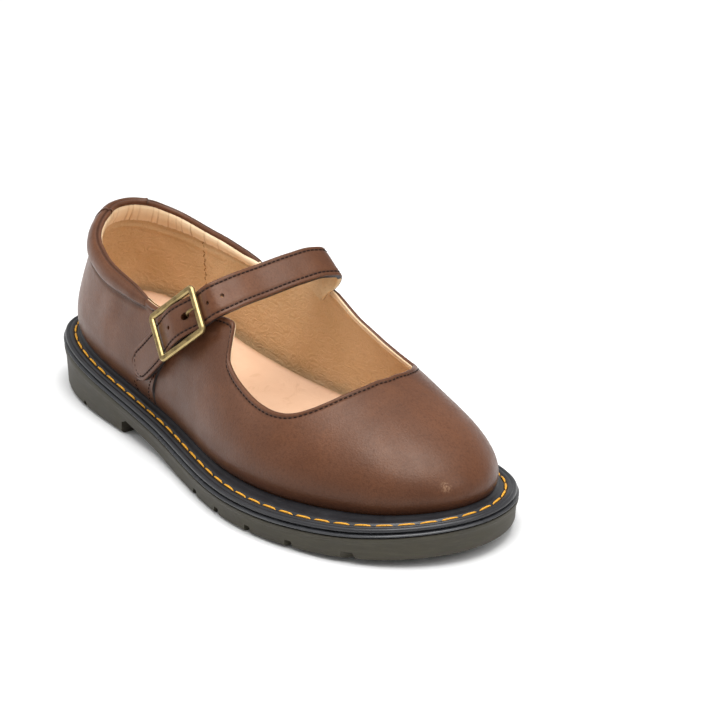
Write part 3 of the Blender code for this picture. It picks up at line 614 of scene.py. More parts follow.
def stitches(name, path, normal, pitch, sewn, width, mat, lift=0.0, height=0.8, sides=6,
             slot="brown_leather"):
    """Rounded threads along a path, each dipping at its ends."""
    run = run_length(path)
    count = max(1, int(round(run[-1] / pitch)))
    at = (np.arange(count)[:, None] + 0.5 + STITCH["place"] * sewn) * run[-1] / count
    p = point_at(at, run, path)
    n = unit(point_at(at, run, normal))
    side = np.cross(unit(np.gradient(p, axis=1)), n)
    turn = np.arange(sides)[:, None] / sides * 2 * math.pi
    ring = np.cos(turn) * side[:, :, None] + height * np.sin(turn) * n[:, :, None]
    dip = lift + STITCH["dip"][:, None] * width
    verts = (p + n * dip)[:, :, None] + ring * STITCH["fat"][:, None, None] * width / 2
    base = np.array(loft_faces(6, sides, True, False, False))
    ends = [list(range(sides)), list(range(5 * sides, 6 * sides))]
    faces = []
    for first in range(0, count * 6 * sides, 6 * sides):
        faces += (base + first).tolist() + [[v + first for v in end] for end in ends]
    return finish_mesh(name, verts.reshape(-1, 3), faces, [mat], slot=slot, sharp=80)


# Materials

class Paint:
    """A material and its node tree, with short ways to add nodes."""

    def __init__(self, name, colour, roughness, metallic=0.0):
        self.mat = bpy.data.materials.new(name)
        self.mat.use_nodes = True
        self.tree = self.mat.node_tree
        self.bsdf = self.tree.nodes["Principled BSDF"]
        self.set(Base_Color=(*colour, 1), Roughness=roughness, Metallic=metallic)
        self.coord = self.tree.nodes.new("ShaderNodeTexCoord").outputs["Object"]

    def set(self, **sockets):
        for key, value in sockets.items():
            self.bsdf.inputs[key.replace("_", " ")].default_value = value

    def node(self, kind, links, values=(), out=0, **props):
        """One output of a new node."""
        made = self.tree.nodes.new("ShaderNode" + kind)
        for key, value in props.items():
            setattr(made, key, value)
        for socket, value in dict(values).items():
            made.inputs[socket].default_value = value
        for socket, source in dict(links).items():
            self.tree.links.new(source, made.inputs[socket])
        return made.outputs[out]

    def stretched(self, scale):
        return self.node("Mapping", {"Vector": self.coord}, {"Scale": scale})

    def noise(self, scale, detail=3.0, rough=0.55, distortion=0.0, vector=None):
        values = {"Scale": scale, "Detail": detail, "Roughness": rough, "Distortion": distortion}
        return self.node("TexNoise", {"Vector": vector or self.coord}, values)

    def cells(self, scale):
        return self.node("TexVoronoi", {"Vector": self.coord}, {"Scale": scale})

    def spread(self, source, low, high, to_low=0.0, to_high=1.0):
        values = {"From Min": low, "From Max": high, "To Min": to_low, "To Max": to_high}
        return self.node("MapRange", {"Value": source}, values)

    def mix(self, factor, a, b):
        """Two colours mixed; each is a tuple or an output."""
        sides = {6: a, 7: b}
        fixed = {socket: (*side, 1) for socket, side in sides.items() if isinstance(side, tuple)}
        links = {socket: side for socket, side in sides.items() if socket not in fixed}
        return self.node("Mix", {"Factor": factor, **links}, fixed, out=2, data_type="RGBA")

    def colour(self, source):
        self.tree.links.new(source, self.bsdf.inputs["Base Color"])

    def roughness(self, source):
        self.tree.links.new(source, self.bsdf.inputs["Roughness"])

    def bump(self, *layers):
        """Bumps given as (height, strength, distance), chained."""
        last = None
        for height, strength, distance in layers:
            links = {"Height": height, "Normal": last} if last else {"Height": height}
            last = self.node("Bump", links, {"Strength": strength, "Distance": distance})
        self.tree.links.new(last, self.bsdf.inputs["Normal"])

    # Per-point painted shade and painted glints, with some rub wear, as stored by finish_mesh.
    def wear(self):
        return self.node("Attribute", (), out="Fac", attribute_name="wear", attribute_type="GEOMETRY")


# Small rubbed spot low on the toe
TOE_RUB = Vector((0.1211, -0.0048, 0.0286))


def brown_leather():
    p = Paint("brown_leather_burnished", (0.15, 0.065, 0.037), 0.42)
    p.set(Specular_IOR_Level=0.30, Specular_Tint=(1.0, 0.80, 0.68, 1.0))
    p.set(Coat_Weight=0.08, Coat_Roughness=0.28)
    base = p.mix(p.spread(p.noise(22, 4, 0.5), 0.34, 0.68), (0.080, 0.0300, 0.0145), (0.135, 0.054, 0.0275))
    streak = p.spread(p.noise(60, 5, 0.6, 0.6), 0.42, 0.66)
    base = p.mix(p.spread(streak, 0, 1, 0, 0.35), base, (0.165, 0.062, 0.026))
    base = p.mix(p.spread(p.noise(900, 2, 0.6), 0.46, 0.70, 0.0, 0.45), base, (0.060, 0.021, 0.0095))
    # Painted shade: the per-point attribute darkens the leather in grooves and creases, under the collar's
    # roll, ahead of the quarter's edge and at the foot of the upper.
    base = p.mix(p.spread(p.wear(), 0, 1, 0.0, 0.75), base, (0.026, 0.0095, 0.0055))
    # Painted shade: the leather is painted darker towards the bottom, low on the upper and the strap.
    height = p.node("SeparateXYZ", {0: p.coord}, out="Z")
    base = p.mix(p.spread(height, 0.020, 0.046, 0.55, 0.0), base, (0.050, 0.0175, 0.0085))
    away = p.node("VectorMath", {0: p.coord}, {1: tuple(TOE_RUB + SHIFT)}, out="Value", operation="DISTANCE")
    links = {0: p.spread(away, 0.0008, 0.0030, 0.55, 0.0), 1: p.spread(p.noise(1100, 3, 0.7), 0.45, 0.62)}
    p.colour(p.mix(p.node("Math", links, operation="MULTIPLY"), base, (0.36, 0.21, 0.125)))
    p.roughness(p.spread(p.noise(140, 4, 0.6), 0.3, 0.7, 0.33, 0.46))
    fine, soft = p.noise(2000, 2, 0.6), p.noise(160, 3, 0.5)
    p.bump((p.cells(1150), 0.30, 0.00014), (fine, 0.35, 0.00012), (soft, 0.10, 0.0006))
    return p.mat


def lining_leather():
    p = Paint("tan_lining", (0.50, 0.25, 0.105), 0.62)
    tone = p.mix(p.spread(p.noise(30, 4, 0.55), 0.35, 0.68), (0.60, 0.395, 0.195), (0.72, 0.50, 0.275))
    p.colour(p.mix(p.spread(p.noise(1300, 2, 0.6), 0.52, 0.72, 0, 0.22), tone, (0.32, 0.165, 0.07)))
    ripple = p.noise(210, 3, 0.55, 1.6, p.stretched((1.0, 1.0, 1.7)))
    p.bump((ripple, 0.60, 0.0012), (p.cells(1000), 0.10, 0.0001))
    return p.mat


def pale_lining():
    p = Paint("pale_lining_edge", (0.72, 0.47, 0.25), 0.6)
    tone = p.mix(p.spread(p.noise(60, 4, 0.6), 0.35, 0.7), (0.84, 0.62, 0.38), (0.94, 0.75, 0.51))
    # Painted shade: the per-point attribute darkens the lining strip in its gathers and along its tucked
    # lower edge, and a little on the upper's rim.
    p.colour(p.mix(p.spread(p.wear(), 0, 1, 0, 0.7), tone, (0.36, 0.20, 0.095)))
    p.bump((p.noise(420, 3, 0.6, 0.8), 0.25, 0.0004))
    return p.mat


def footbed_leather():
    p = Paint("peach_footbed", (0.80, 0.50, 0.31), 0.55)
    tone = p.mix(p.spread(p.noise(26, 4, 0.6), 0.35, 0.7), (0.72, 0.465, 0.300), (0.82, 0.565, 0.39))
    crease = p.noise(75, 5, 0.65, 1.4)
    # Painted shade: the footbed is painted darker along its creases.
    tone = p.mix(p.spread(crease, 0.56, 0.63, 0.0, 0.30), tone, (0.58, 0.34, 0.19))
    # Painted shade: the per-point attribute darkens the footbed's edge where it meets the wall.
    p.colour(p.mix(p.spread(p.wear(), 0, 1, 0, 0.8), tone, (0.40, 0.205, 0.095)))
    p.bump((crease, 0.22, 0.0012), (p.cells(900), 0.10, 0.0001))
    return p.mat


def black_rubber(name, colour, roughness):
    p = Paint(name, colour, roughness)
    light = tuple(c * 1.5 for c in colour)
    p.colour(p.mix(p.spread(p.noise(260, 4, 0.65), 0.4, 0.75), colour, light))
    p.roughness(p.spread(p.noise(90, 4, 0.6), 0.3, 0.7, roughness - 0.06, roughness + 0.12))
    p.bump((p.noise(900, 3, 0.6), 0.12, 0.00012))
    return p.mat


def olive_rubber():
    p = Paint("olive_rubber_sole", (0.066, 0.060, 0.043), 0.66)
    fine, cloud = p.noise(700, 4, 0.65, 0.0, p.stretched((0.12, 0.12, 1.0))), p.noise(70, 4, 0.6)
    tone = p.mix(p.spread(cloud, 0.35, 0.7), (0.026, 0.0215, 0.0115), (0.043, 0.037, 0.022))
    p.colour(p.mix(p.spread(fine, 0.50, 0.75, 0, 0.5), tone, (0.062, 0.054, 0.034)))
    p.roughness(p.spread(cloud, 0.3, 0.7, 0.58, 0.74))
    p.bump((fine, 0.22, 0.0002), (p.noise(1500, 2, 0.6), 0.18, 0.00012))
    return p.mat


def aged_brass():
    p = Paint("aged_brass_buckle", (0.42, 0.33, 0.16), 0.36, 0.92)
    cloud = p.spread(p.noise(260, 5, 0.65, 0.5), 0.40, 0.66)
    tone = p.mix(cloud, (0.27, 0.19, 0.078), (0.070, 0.045, 0.018))
    # Rub wear and painted glint: the per-point attribute brightens the frame's bevels and sides.
    p.colour(p.mix(p.spread(p.wear(), 0, 1), tone, (0.52, 0.40, 0.18)))
    p.roughness(p.spread(cloud, 0, 1, 0.36, 0.50))
    p.bump((p.noise(900, 4, 0.6), 0.18, 0.00018), (p.noise(240, 3, 0.6), 0.22, 0.0004))
    return p.mat


def thread(name, colour, roughness=0.6):
    p = Paint(name, colour, roughness)
    p.set(Specular_IOR_Level=0.25)
    p.colour(p.mix(p.spread(p.noise(1500, 2, 0.6), 0.35, 0.7), tuple(c * 0.6 for c in colour), colour))
    p.bump((p.noise(2600, 2, 0.5), 0.4, 0.0002))
    return p.mat


def edge_paint():
    p = Paint("black_edge_paint", (0.016, 0.012, 0.011), 0.45)
    p.bump((p.noise(1200, 2, 0.5), 0.15, 0.0001))
    return p.mat


LEATHER, LINING, PALE, FOOTBED = brown_leather(), lining_leather(), pale_lining(), footbed_leather()
WELT_BLACK = black_rubber("black_welt_satin", (0.0140, 0.0142, 0.0165), 0.36)
# Painted highlight: the lip under the welt is a lighter, glossier grey copy of the welt's black.
LIP_HIGHLIGHT_GREY = black_rubber("welt_lip_painted_highlight", (0.026, 0.027, 0.030), 0.28)
OLIVE, BRASS, EDGE = olive_rubber(), aged_brass(), edge_paint()
BROWN_THREAD = thread("dark_brown_thread", (0.024, 0.0100, 0.0065), 0.8)
YELLOW_THREAD = thread("amber_thread", (0.96, 0.46, 0.045), 0.5)
TAN_THREAD = thread("tan_thread", (0.36, 0.18, 0.075))
# Rows on the leather: length from stitch to stitch, share of it that shows, thickness, thread and lift
LEATHER_ROW = (0.0022, 0.74, 0.00062, BROWN_THREAD, 0.00012)


# Sole

def sole_ring(inset, height):
    loop = sole_loop(384)
    loop = loop - outward(loop) * inset
    return np.column_stack([loop, height(loop[:, 0])])


def cutter(name, bm):
    bmesh.ops.recalc_face_normals(bm, faces=bm.faces)
    mesh = bpy.data.meshes.new(name)
    bm.to_mesh(mesh)
    bm.free()
    obj = bpy.data.objects.new(name, mesh)
    bpy.context.scene.collection.objects.link(obj)
    return obj


def skin(rings):
    """A closed bmesh through rings of points."""
    rings = np.asarray(rings, float) + np.array(SHIFT)
    bm = bmesh.new()
    verts = [bm.verts.new(p) for p in rings.reshape(-1, 3)]
    for face in loft_faces(len(rings), len(rings[0]), True, False, True):
        bm.faces.new([verts[v] for v in face])
    return bm


def keep_result(obj):
    """Makes the mesh with its modifiers the piece's own mesh."""
    obj.data = bpy.data.meshes.new_from_object(obj.evaluated_get(bpy.context.evaluated_depsgraph_get()))
    obj.modifiers.clear()


def cut(obj, *tools):
    """Cuts bodies out of a piece for good, and removes them."""
    for body in tools:
        boolean = obj.modifiers.new(body.name, "BOOLEAN")
        boolean.operation, boolean.solver, boolean.object = "DIFFERENCE", "EXACT", body
    keep_result(obj)
    for body in tools:
        bpy.data.objects.remove(body)
    obj.data.shade_smooth()
    obj.data.set_sharp_from_angle(angle=math.radians(35))


def make_outsole():
    rings = [sole_ring(inset, lambda x, r=rise: tread_line(x) * (1 - r) + rubber_top(x) * r)
             for inset, rise in zip(*outsole_profile().values())]
    sole = loft("sole_rubber", rings, [OLIVE], caps=True, slot="olive_rubber", node=("outsole",))
    cut(sole, arch_cutter(), lug_cutter())


def make_midsole():
    low, high = GAP, WELT_HEIGHT - WELT_STRIP - GAP
    profile = table(
        "inset rise",
        (0.0300, 0.0), (0.0014, 0.0), (0.0005, 0.08), (0.0001, 0.22), (0.0000, 0.42), (0.0002, 0.62),
        (0.0007, 0.80), (0.0014, 0.94), (0.0024, 1.0), (0.0300, 1.0),
    )
    rings = [sole_ring(inset, lambda x, r=rise: rubber_top(x) + low + (high - low) * r)
             for inset, rise in zip(*profile.values())]
    # Painted highlight: the lip is drawn in the lighter grey copy of the welt's black.
    loft("midsole_lip", rings, [LIP_HIGHLIGHT_GREY], slot="black_welt", node=("midsole",))


def make_welt():
    """Ribbed strip with a rolled outer edge, a stitch groove and a rim that meets the upper."""
    loop = sole_loop(480)
    away = outward(loop)
    inner_edge = np.linalg.norm(loop - feather_loop(len(loop)), axis=1) - 0.0001
    low, top, g = WELT_HEIGHT - WELT_STRIP, WELT_HEIGHT, GROOVE_INSET

    def ring(inset, rise):
        flat = loop - away * inset[:, None]
        return np.column_stack([flat, rubber_top(flat[:, 0]) + rise])

    section = (
        (0.0030, low - 0.0002), (0.0013, low), (0.0009, low + 0.0004), (0.0008, low + 0.0008),
        (0.0010, top - 0.0006), (0.0014, top - 0.0002), (0.0019, top), (0.0024, top), (0.0027, top - 0.00035),
        (0.0030, top - 0.00035), (0.0033, top), (0.0038, top + 0.0001), (g - 0.0010, top),
        (g - 0.0007, top - 0.0005), (g, top - 0.0007), (g + 0.0007, top - 0.0005), (g + 0.0010, top + 0.0001),
        (g + 0.0014, top + 0.00025),
    )
    rim = ((0.35, 0.0002), (0.6, 0.0005), (0.82, 0.0010), (0.95, 0.0011), (1.0, 0.0008), (1.0, -0.0010))
    rings = [ring(np.minimum(inset, inner_edge - 0.0002), rise) for inset, rise in section]
    rings += [ring((g + 0.0014) * (1 - part_in) + inner_edge * part_in, top + rise) for part_in, rise in rim]
    loft("welt_strip", rings, [WELT_BLACK], slot="black_welt", node=("welt",), sharp=70)
    line = ring(np.full(len(loop), g), top)
    line = np.vstack([line, line[:1]])
    up = np.tile([0.0, 0, 1], (len(line), 1))
    stitches("welt_stitches", line, up, 0.0088, 0.84, 0.00100, YELLOW_THREAD, -0.0001, 0.75, 8, "black_welt")


def make_footbed():
    """Insole: rings drawn in from its edge to the middle line, with a soft hollow under heel and ball."""
    around = np.arange(240) / 240
    edge = feather_at(around) - outward(feather_at(around)) * (WALL + 0.0009)
    spine_x = np.clip(edge[:, 0], -0.095, 0.095)
    spine = np.stack([spine_x, read(SECTIONS, "spine", share(spine_x)) * BALL_WIDTH], 1)
    rings, shade = [], []
    for k in (1.0, 1.0, *np.linspace(0.985, 0.0, 26)):
        flat = spine + (edge - spine) * k
        lift = 0.0016 * k**6 - 0.0006 * (1 - k**2) - (0.0012 if rings else 0.0052)
        z = welt_top(flat[:, 0]) + read(FOOTBED_LINE, "rise", share(flat[:, 0])) + lift
        rings.append(np.column_stack([flat, z]))
        # Painted shade: the outer rings are darkened where the footbed meets the wall.
        shade.append(np.full(len(around), np.clip((k - 0.93) / 0.07, 0, 1)))
    loft("footbed", rings, [FOOTBED], slot="tan_footbed", node=("insole",), shade=shade)


# Upper

# How far under the opening's edge the upper's last rows run
EDGE_DROPS = 1e-4 * np.array([
    160, 148, 140, 133, 127, 121, 113, 103, 92, 80, 66, 52, 43, 36, 30, 26, 23, 20, 17, 14, 11, 8, 4,
])


def wall_grid(count, rows):
    """Outer face as rows of points up to the opening's edge, bent along the quarter's front edge."""
    shares = ring_shares(count)
    foot = QUARTER_EDGE["around"][0]
    shares[np.abs(shares - foot).argmin()] = foot
    shares = np.sort(np.append(shares, [foot + 0.0004, foot + 0.0008]))
    weight = np.where(shares > foot + 0.001, 0, np.clip(1 - (shares - foot) / 0.0008, 0, 1))
    levels = np.linspace(0, 1, 120)
    ats = np.array([quarter_shift(shares, level) for level in levels])
    grid = np.array([last_surface(at, topline(at) * level**1.4, quarter_step(at) * weight * min(1, 4 * level))
                     for at, level in zip(ats, levels)])
    run = run_length(grid)
    made, around, drops = [], [], []
    for j, total in enumerate(run[-1]):
        even = np.linspace(0, total - EDGE_DROPS[0], rows, endpoint=False)
        want = np.concatenate([even, total - EDGE_DROPS])
        made.append(point_at(want, run[:, j], grid[:, j]))
        around.append(np.interp(want, run[:, j], ats[:, j]))
        drops.append(total - want)
    return shares, np.stack(made, 1), np.stack(around, 1), np.stack(drops, 1), grid[-1]


def bell(x, middle, width):
    return np.exp(-((x - middle) / width) ** 2)


def pad_ends(around):
    """How far round the nearer end of the collar is."""
    return np.minimum(around - PAD_START, PAD_END - around)


def pad_size(around):
    """Size of the collar's roll: 1 over most of it, tapering to 0 at its ends."""
    return np.clip(pad_ends(around) / PAD_TAPER, 0, 1) ** 0.8


def pad_width(size):
    return PAD_WIDTH * (0.22 + 0.78 * size)


def along_throat(around):
    """1 where the edge is a plain turned edge, 0 under the padded collar."""
    around = around % 1.0
    inside = np.minimum(around - PAD_END, 1 + PAD_START - around)
    return np.clip((inside + 0.004) / 0.012, 0, 1)


def make_upper():
    shares, grid, around, drop, edge = wall_grid(520, 40)
    normal = grid_normals(grid)
    if np.mean(np.sum(normal[10] * (grid[10] - grid[10].mean(0)), 1)) < 0:
        normal = -normal
    throat = along_throat(around)
    relief = throat * (0.00030 * bell(drop, 0.0010, 0.0008) - 0.00034 * bell(drop, 0.0021, 0.0005))
    height = run_length(grid)
    relief += -0.0003 * bell(height, 0.0, 0.0016)
    relief -= 0.0003 * bell(around, 0.757, 0.020) * bell(drop, 0.0042, 0.0005)
    turned = (around + 0.5) % 1.0 - 0.5
    size = pad_size(turned)
    under_pad = bell(drop, pad_width(size) + 0.0009, 0.0010) * (size > 0)
    relief += creases(around, height) - 0.0006 * under_pad
    grid = grid + normal * relief[..., None]
    foot = QUARTER_EDGE["around"][0]
    ahead = np.clip((shares - foot - 0.0008) * GIRTH, 0, 0.009)
    # Painted shade and shadow: darker at the foot of the upper by the welt, in the groove under the throat's
    # edge, ahead of the quarter's lapped edge and in the groove under the collar.
    wear = 0.75 * bell(height, 0.0, 0.0035) + throat * 0.55 * bell(drop, 0.0021, 0.0007)
    wear += 0.55 * bell(ahead, 0.0, 0.0022) * (shares > foot)
    wear = np.clip(wear + 0.85 * under_pad, 0, 1)
    up = unit(edge - grid[-1])
    centre = grid[-1] - normal[-1] * WALL / 2
    rim, steps = [], 7
    for turn in np.arange(1, steps + 1) * math.pi / (steps + 1):
        rim.append(centre + WALL / 2 * (math.cos(turn) * normal[-1] + 0.9 * math.sin(turn) * up))
    rings = np.concatenate([grid, rim, (grid - normal * WALL)[::-1]])
    rows = len(grid)
    leather, lining, pale, painted = range(4)
    zone = np.full((len(rings) - 1, len(shares)), leather)
    zone[rows + 3: rows + steps + 1] = pale
    zone[rows + steps:] = lining
    zone[rows + steps:][drop[:0:-1] < 0.0022] = pale
    foot_k = np.abs(shares - foot).argmin()
    zone[: rows, foot_k: foot_k + 2] = painted
    shade = np.concatenate([wear, np.tile(wear[-1:], (steps, 1)) * 0.2, np.zeros_like(wear)])
    loft("leather_upper", rings, [LEATHER, LINING, PALE, EDGE], zone=zone, shade=shade, slot="brown_leather",
         node=("upper",), sharp=60)
    return grid, normal, around, drop


# Soft creases of the leather: place round the upper, height over the welt, length, width, depth and slant
CREASES = table(
    "around height length width depth slant",
    (0.105, 0.026, 0.030, 0.0050, 0.0005, 0.9), (0.085, 0.018, 0.024, 0.0045, 0.0004, 0.8),
    (0.290, 0.012, 0.020, 0.0035, 0.0003, 0.2), (0.700, 0.020, 0.026, 0.0045, 0.0004, -0.4),
    (0.890, 0.022, 0.030, 0.0050, 0.0004, -0.8), (0.340, 0.020, 0.022, 0.0040, 0.0003, 0.5),
    (0.140, 0.034, 0.022, 0.0040, 0.0004, 0.9), (0.630, 0.016, 0.022, 0.0040, 0.0003, -0.5),
)


def creases(around, height):
    relief = np.zeros_like(height)
    for a, h, length, width, depth, slant in zip(*CREASES.values()):
        x, y = (around - a) * GIRTH, height - h
        along = x * math.cos(slant) + y * math.sin(slant)
        across = y * math.cos(slant) - x * math.sin(slant)
        relief -= depth * bell(along, 0, length / 2) * bell(across, 0, width)
    return relief


def drop_line(grid, normal, around, drop, low, high, at):
    """Points and normals of the outer face at a drop below the edge, between two shares of the way round."""
    row = np.abs(drop - at).argmin(0)
    columns = np.arange(grid.shape[1])
    keep = (around[row, columns] >= low) & (around[row, columns] <= high)
    row, columns = row[keep], columns[keep]
    return grid[row, columns], normal[row, columns]


# Stitched lines on the quarter, as (level, around)
SEAMS = {
    "quarter_stitches": (
        (0.05, 0.1745), (0.11, 0.176), (0.182, 0.178), (0.291, 0.182), (0.409, 0.189), (0.50, 0.194),
    ),
    "quarter_back_stitches": ((0.04, 0.159), (0.09, 0.1585), (0.147, 0.158)),
    "tip_seam_stitches": ((0.160, 0.161), (0.185, 0.1645), (0.225, 0.170), (0.270, 0.176), (0.320, 0.1815)),
}


def make_upper_stitches(grid, normal, around, drop):
    for name, low, high, at in (
        ("throat_stitches", 0.176, 0.735, 0.0021), ("tab_stitches", 0.735, 0.822, 0.0021),
        ("tab_second_stitches", 0.738, 0.779, 0.0043),
    ):
        path, out = drop_line(grid, normal, around, drop, low, high, at)
        stitches(name, path, out, *LEATHER_ROW)
    share_on = np.linspace(0, 1, 60)
    for name, rows in SEAMS.items():
        level, at = point_at(share_on, np.linspace(0, 1, len(rows)), rows).T
        step = quarter_step(at) * np.minimum(1, 4 * level)
        angle = topline(at) * level**1.4
        path = last_surface(at, angle, step)
        along, above = last_surface(at + 0.002, angle, step), last_surface(at, angle + 1, step)
        out = unit(np.cross(along - path, above - path))
        out *= -np.sign(out[:, 1:2])
        stitches(name, path, out, 0.0023, 0.72, 0.0006, BROWN_THREAD, lift=0.00010)


def collar_section(size):
    """Padded roll with a bead along its top edge, closed inside the wall."""
    wide, fat = pad_width(size), PAD_BULGE * (0.28 + 0.72 * size)
    c, w = PAD_CLEARANCE, WALL
    return np.array([
        (wide + 0.0004, c - 0.0002), (wide, c + 0.18 * fat), (wide - 0.0009, c + 0.46 * fat),
        (wide * 0.80, c + 0.80 * fat), (wide * 0.58, c + 0.98 * fat), (wide * 0.36, c + 1.00 * fat),
        (wide * 0.16, c + 0.84 * fat), (-0.0004, c + 0.52 * fat), (-0.0016, 0.30 * fat), (-0.0019, -0.0001),
        (-0.0013, -0.0006), (-0.0020, -0.0010), (-0.0024, -0.0016), (-0.0021, -w - 0.0002),
        (-0.0014, -w - 0.0006), (-0.0004, -w - 0.0006), (0.0003, -w - 0.0003), (0.0004, -w),
        (0.0001, -w + 0.0002), (-0.0002, -0.5 * w), (0.0, c * 0.5), (wide * 0.5, c * 0.5),
    ])


def wrapped_rings(around, sections):
    """Sections given as drops below the opening's edge and distances off the wall, set round the edge."""
    rings = []
    for a, section, edge, down, normal in zip(around, sections, *edge_frame(around)):
        rings.append(off_edge(section[:, 0], a, edge, down) + normal * section[:, 1:])
    return np.array(rings)


def make_collar():
    around = np.linspace(PAD_START, PAD_END, 240)
    ends = pad_ends(around)
    size = pad_size(around) * (1 - 0.16 * bell(np.abs(around), BINDING_REACH, 0.0030))
    sections = [collar_section(s) for s in size]
    for section, thin in zip(sections, 0.06 + 0.94 * np.clip(ends / 0.016, 0, 1) ** 0.7):
        drop, out = section.T
        section[:, 1] = np.where(out > 0, out * thin, np.where(out < -WALL, -WALL + (out + WALL) * thin, out))
        section[:, 0] = np.where(drop < 0, drop * (0.2 + 0.8 * thin), drop)
    rings = wrapped_rings(around, sections)
    # Painted shade: darker along the roll's lower seam, in the groove by its bead and where the back
    # binding's ends pinch it.
    wear = np.zeros(rings.shape[:2])
    wear[:, (0, 1, 10)] = 0.9
    wear[:, (9, 11)] = 0.5
    wear += 0.6 * bell(np.abs(around), BINDING_REACH, 0.0016)[:, None]
    pad = loft("padded_collar", rings, [LEATHER], caps=True, shade=np.clip(wear, 0, 1), slot="brown_leather",
               node=("collar",), sharp=75)
    smooth(pad)


def smooth(obj):
    """One finer level of the mesh, kept."""
    sub = obj.modifiers.new("finer", "SUBSURF")
    sub.levels = sub.render_levels = 1
    keep_result(obj)


def make_lining_binding():
    """Pale strip inside the collar, gathered round the heel, with a loose lower edge."""
    around = np.linspace(PAD_START - 0.030, PAD_END + 0.012, 1100)
    width = np.interp(np.abs(around), [0, 0.03, 0.06, 0.105, 0.15, 0.2],
                      [0.0086, 0.0088, 0.0076, 0.0050, 0.0032, 0.0022])
    folds, lean = np.zeros_like(around), np.zeros_like(around)
    fold = -0.125
    while fold < 0.125:
        depth = RANDOM.uniform(0.35, 1.0)
        folds += depth * bell(around, fold, 0.0010)
        lean += depth * 0.35 * bell(around, fold - 0.0022, 0.0016)
        fold += RANDOM.uniform(0.007, 0.017)
    run_mm = around * GIRTH * 1000
    wave = 0.00022 * np.sin(run_mm * 1.1) + 0.00016 * np.sin(run_mm * 2.7 + 1)
    k = np.linspace(0, 1, 15)[:, None]
    drops = -0.0006 + (width + 0.0006) * k + (0.5 * wave + 0.0003 * folds) * (k > 0.9)
    bulge = 0.0006 * np.sin(math.pi * np.minimum(1, k * 1.1)) + 0.0006 * np.minimum(1, k * 9)
    outs = WALL + 0.0003 + bulge - 0.00055 * folds * (0.3 + 0.7 * k) + 0.0003 * lean
    edge, down, normal = edge_frame(around)
    points = [off_edge(*row, 10, 26) for row in zip(drops.T, around, edge, down)]
    points = np.stack(points, 1) - normal * outs[..., None]
    points = np.concatenate([points, [points[-1] + normal * 0.0007]])
    # Painted shade: darker in the gathers and along the loose lower edge.
    shade = np.clip(folds * (0.25 + 0.75 * k), 0, 1)
    shade[-1] = np.maximum(shade[-1], 0.35)
    shade = np.vstack([shade, np.ones_like(around)])
    loft("lining_binding", points, [PALE], around=False, shade=shade, slot="tan_footbed", sharp=80)


def make_heel_binding():
    """Strip wrapped over the roll at the back, with a pinch at each end."""
    around = np.linspace(-BINDING_REACH, BINDING_REACH, 60)
    size = 1 + 1.4 * bell(np.abs(around), BINDING_REACH - 0.001, 0.0018)
    centre = np.array([0.004, 0.0])
    reach = collar_section(1.0)[1:16] - centre
    sections = [centre + np.vstack([reach * (1 + 0.045 * s), reach[::-1] * 0.97]) for s in size]
    rings = wrapped_rings(around, sections)
    # Painted shade: darker at the pinched ends and in the groove by the bead, and a little darker overall.
    wear = np.full(rings.shape[:2], 0.1)
    wear[:2] = wear[-2:] = wear[:, 10] = 0.8
    band = loft("back_binding", rings, [LEATHER], caps=True, shade=wear, slot="brown_leather",
                node=("heel_binding",), sharp=75)
    smooth(band)


def make_zigzag():
    """Zigzag seam down the lining of the inner side, and the dotted seam of the strip."""
    level = np.linspace(0.5, 19.5, 24)
    around = 0.8915 + 0.0018 * (np.arange(len(level)) % 2)
    points = last_surface(around, level, -WALL - 0.0002)
    normals = unit(last_surface(around, level, -WALL - 0.002) - points)
    stitches("lining_seam", points, normals, 0.0026, 0.85, 0.0005, TAN_THREAD, slot="tan_footbed")
    around = np.linspace(0.775, 0.895, 160)
    normal = edge_frame(around)[2]
    drops = np.interp(around, [0.775, 0.85, 0.895], [0.0024, 0.0040, 0.0062])
    path = np.array([point_at(drop, *wall_line(a, 14, 29)) for a, drop in zip(around, drops)])
    stitches("lining_stitches", path - normal * (WALL + 0.0004), -normal, 0.0024, 0.6, 0.00045, TAN_THREAD,
             slot="tan_footbed")


# Strap

HOLES = (0.0407, 0.0497, 0.0628, 0.0679)


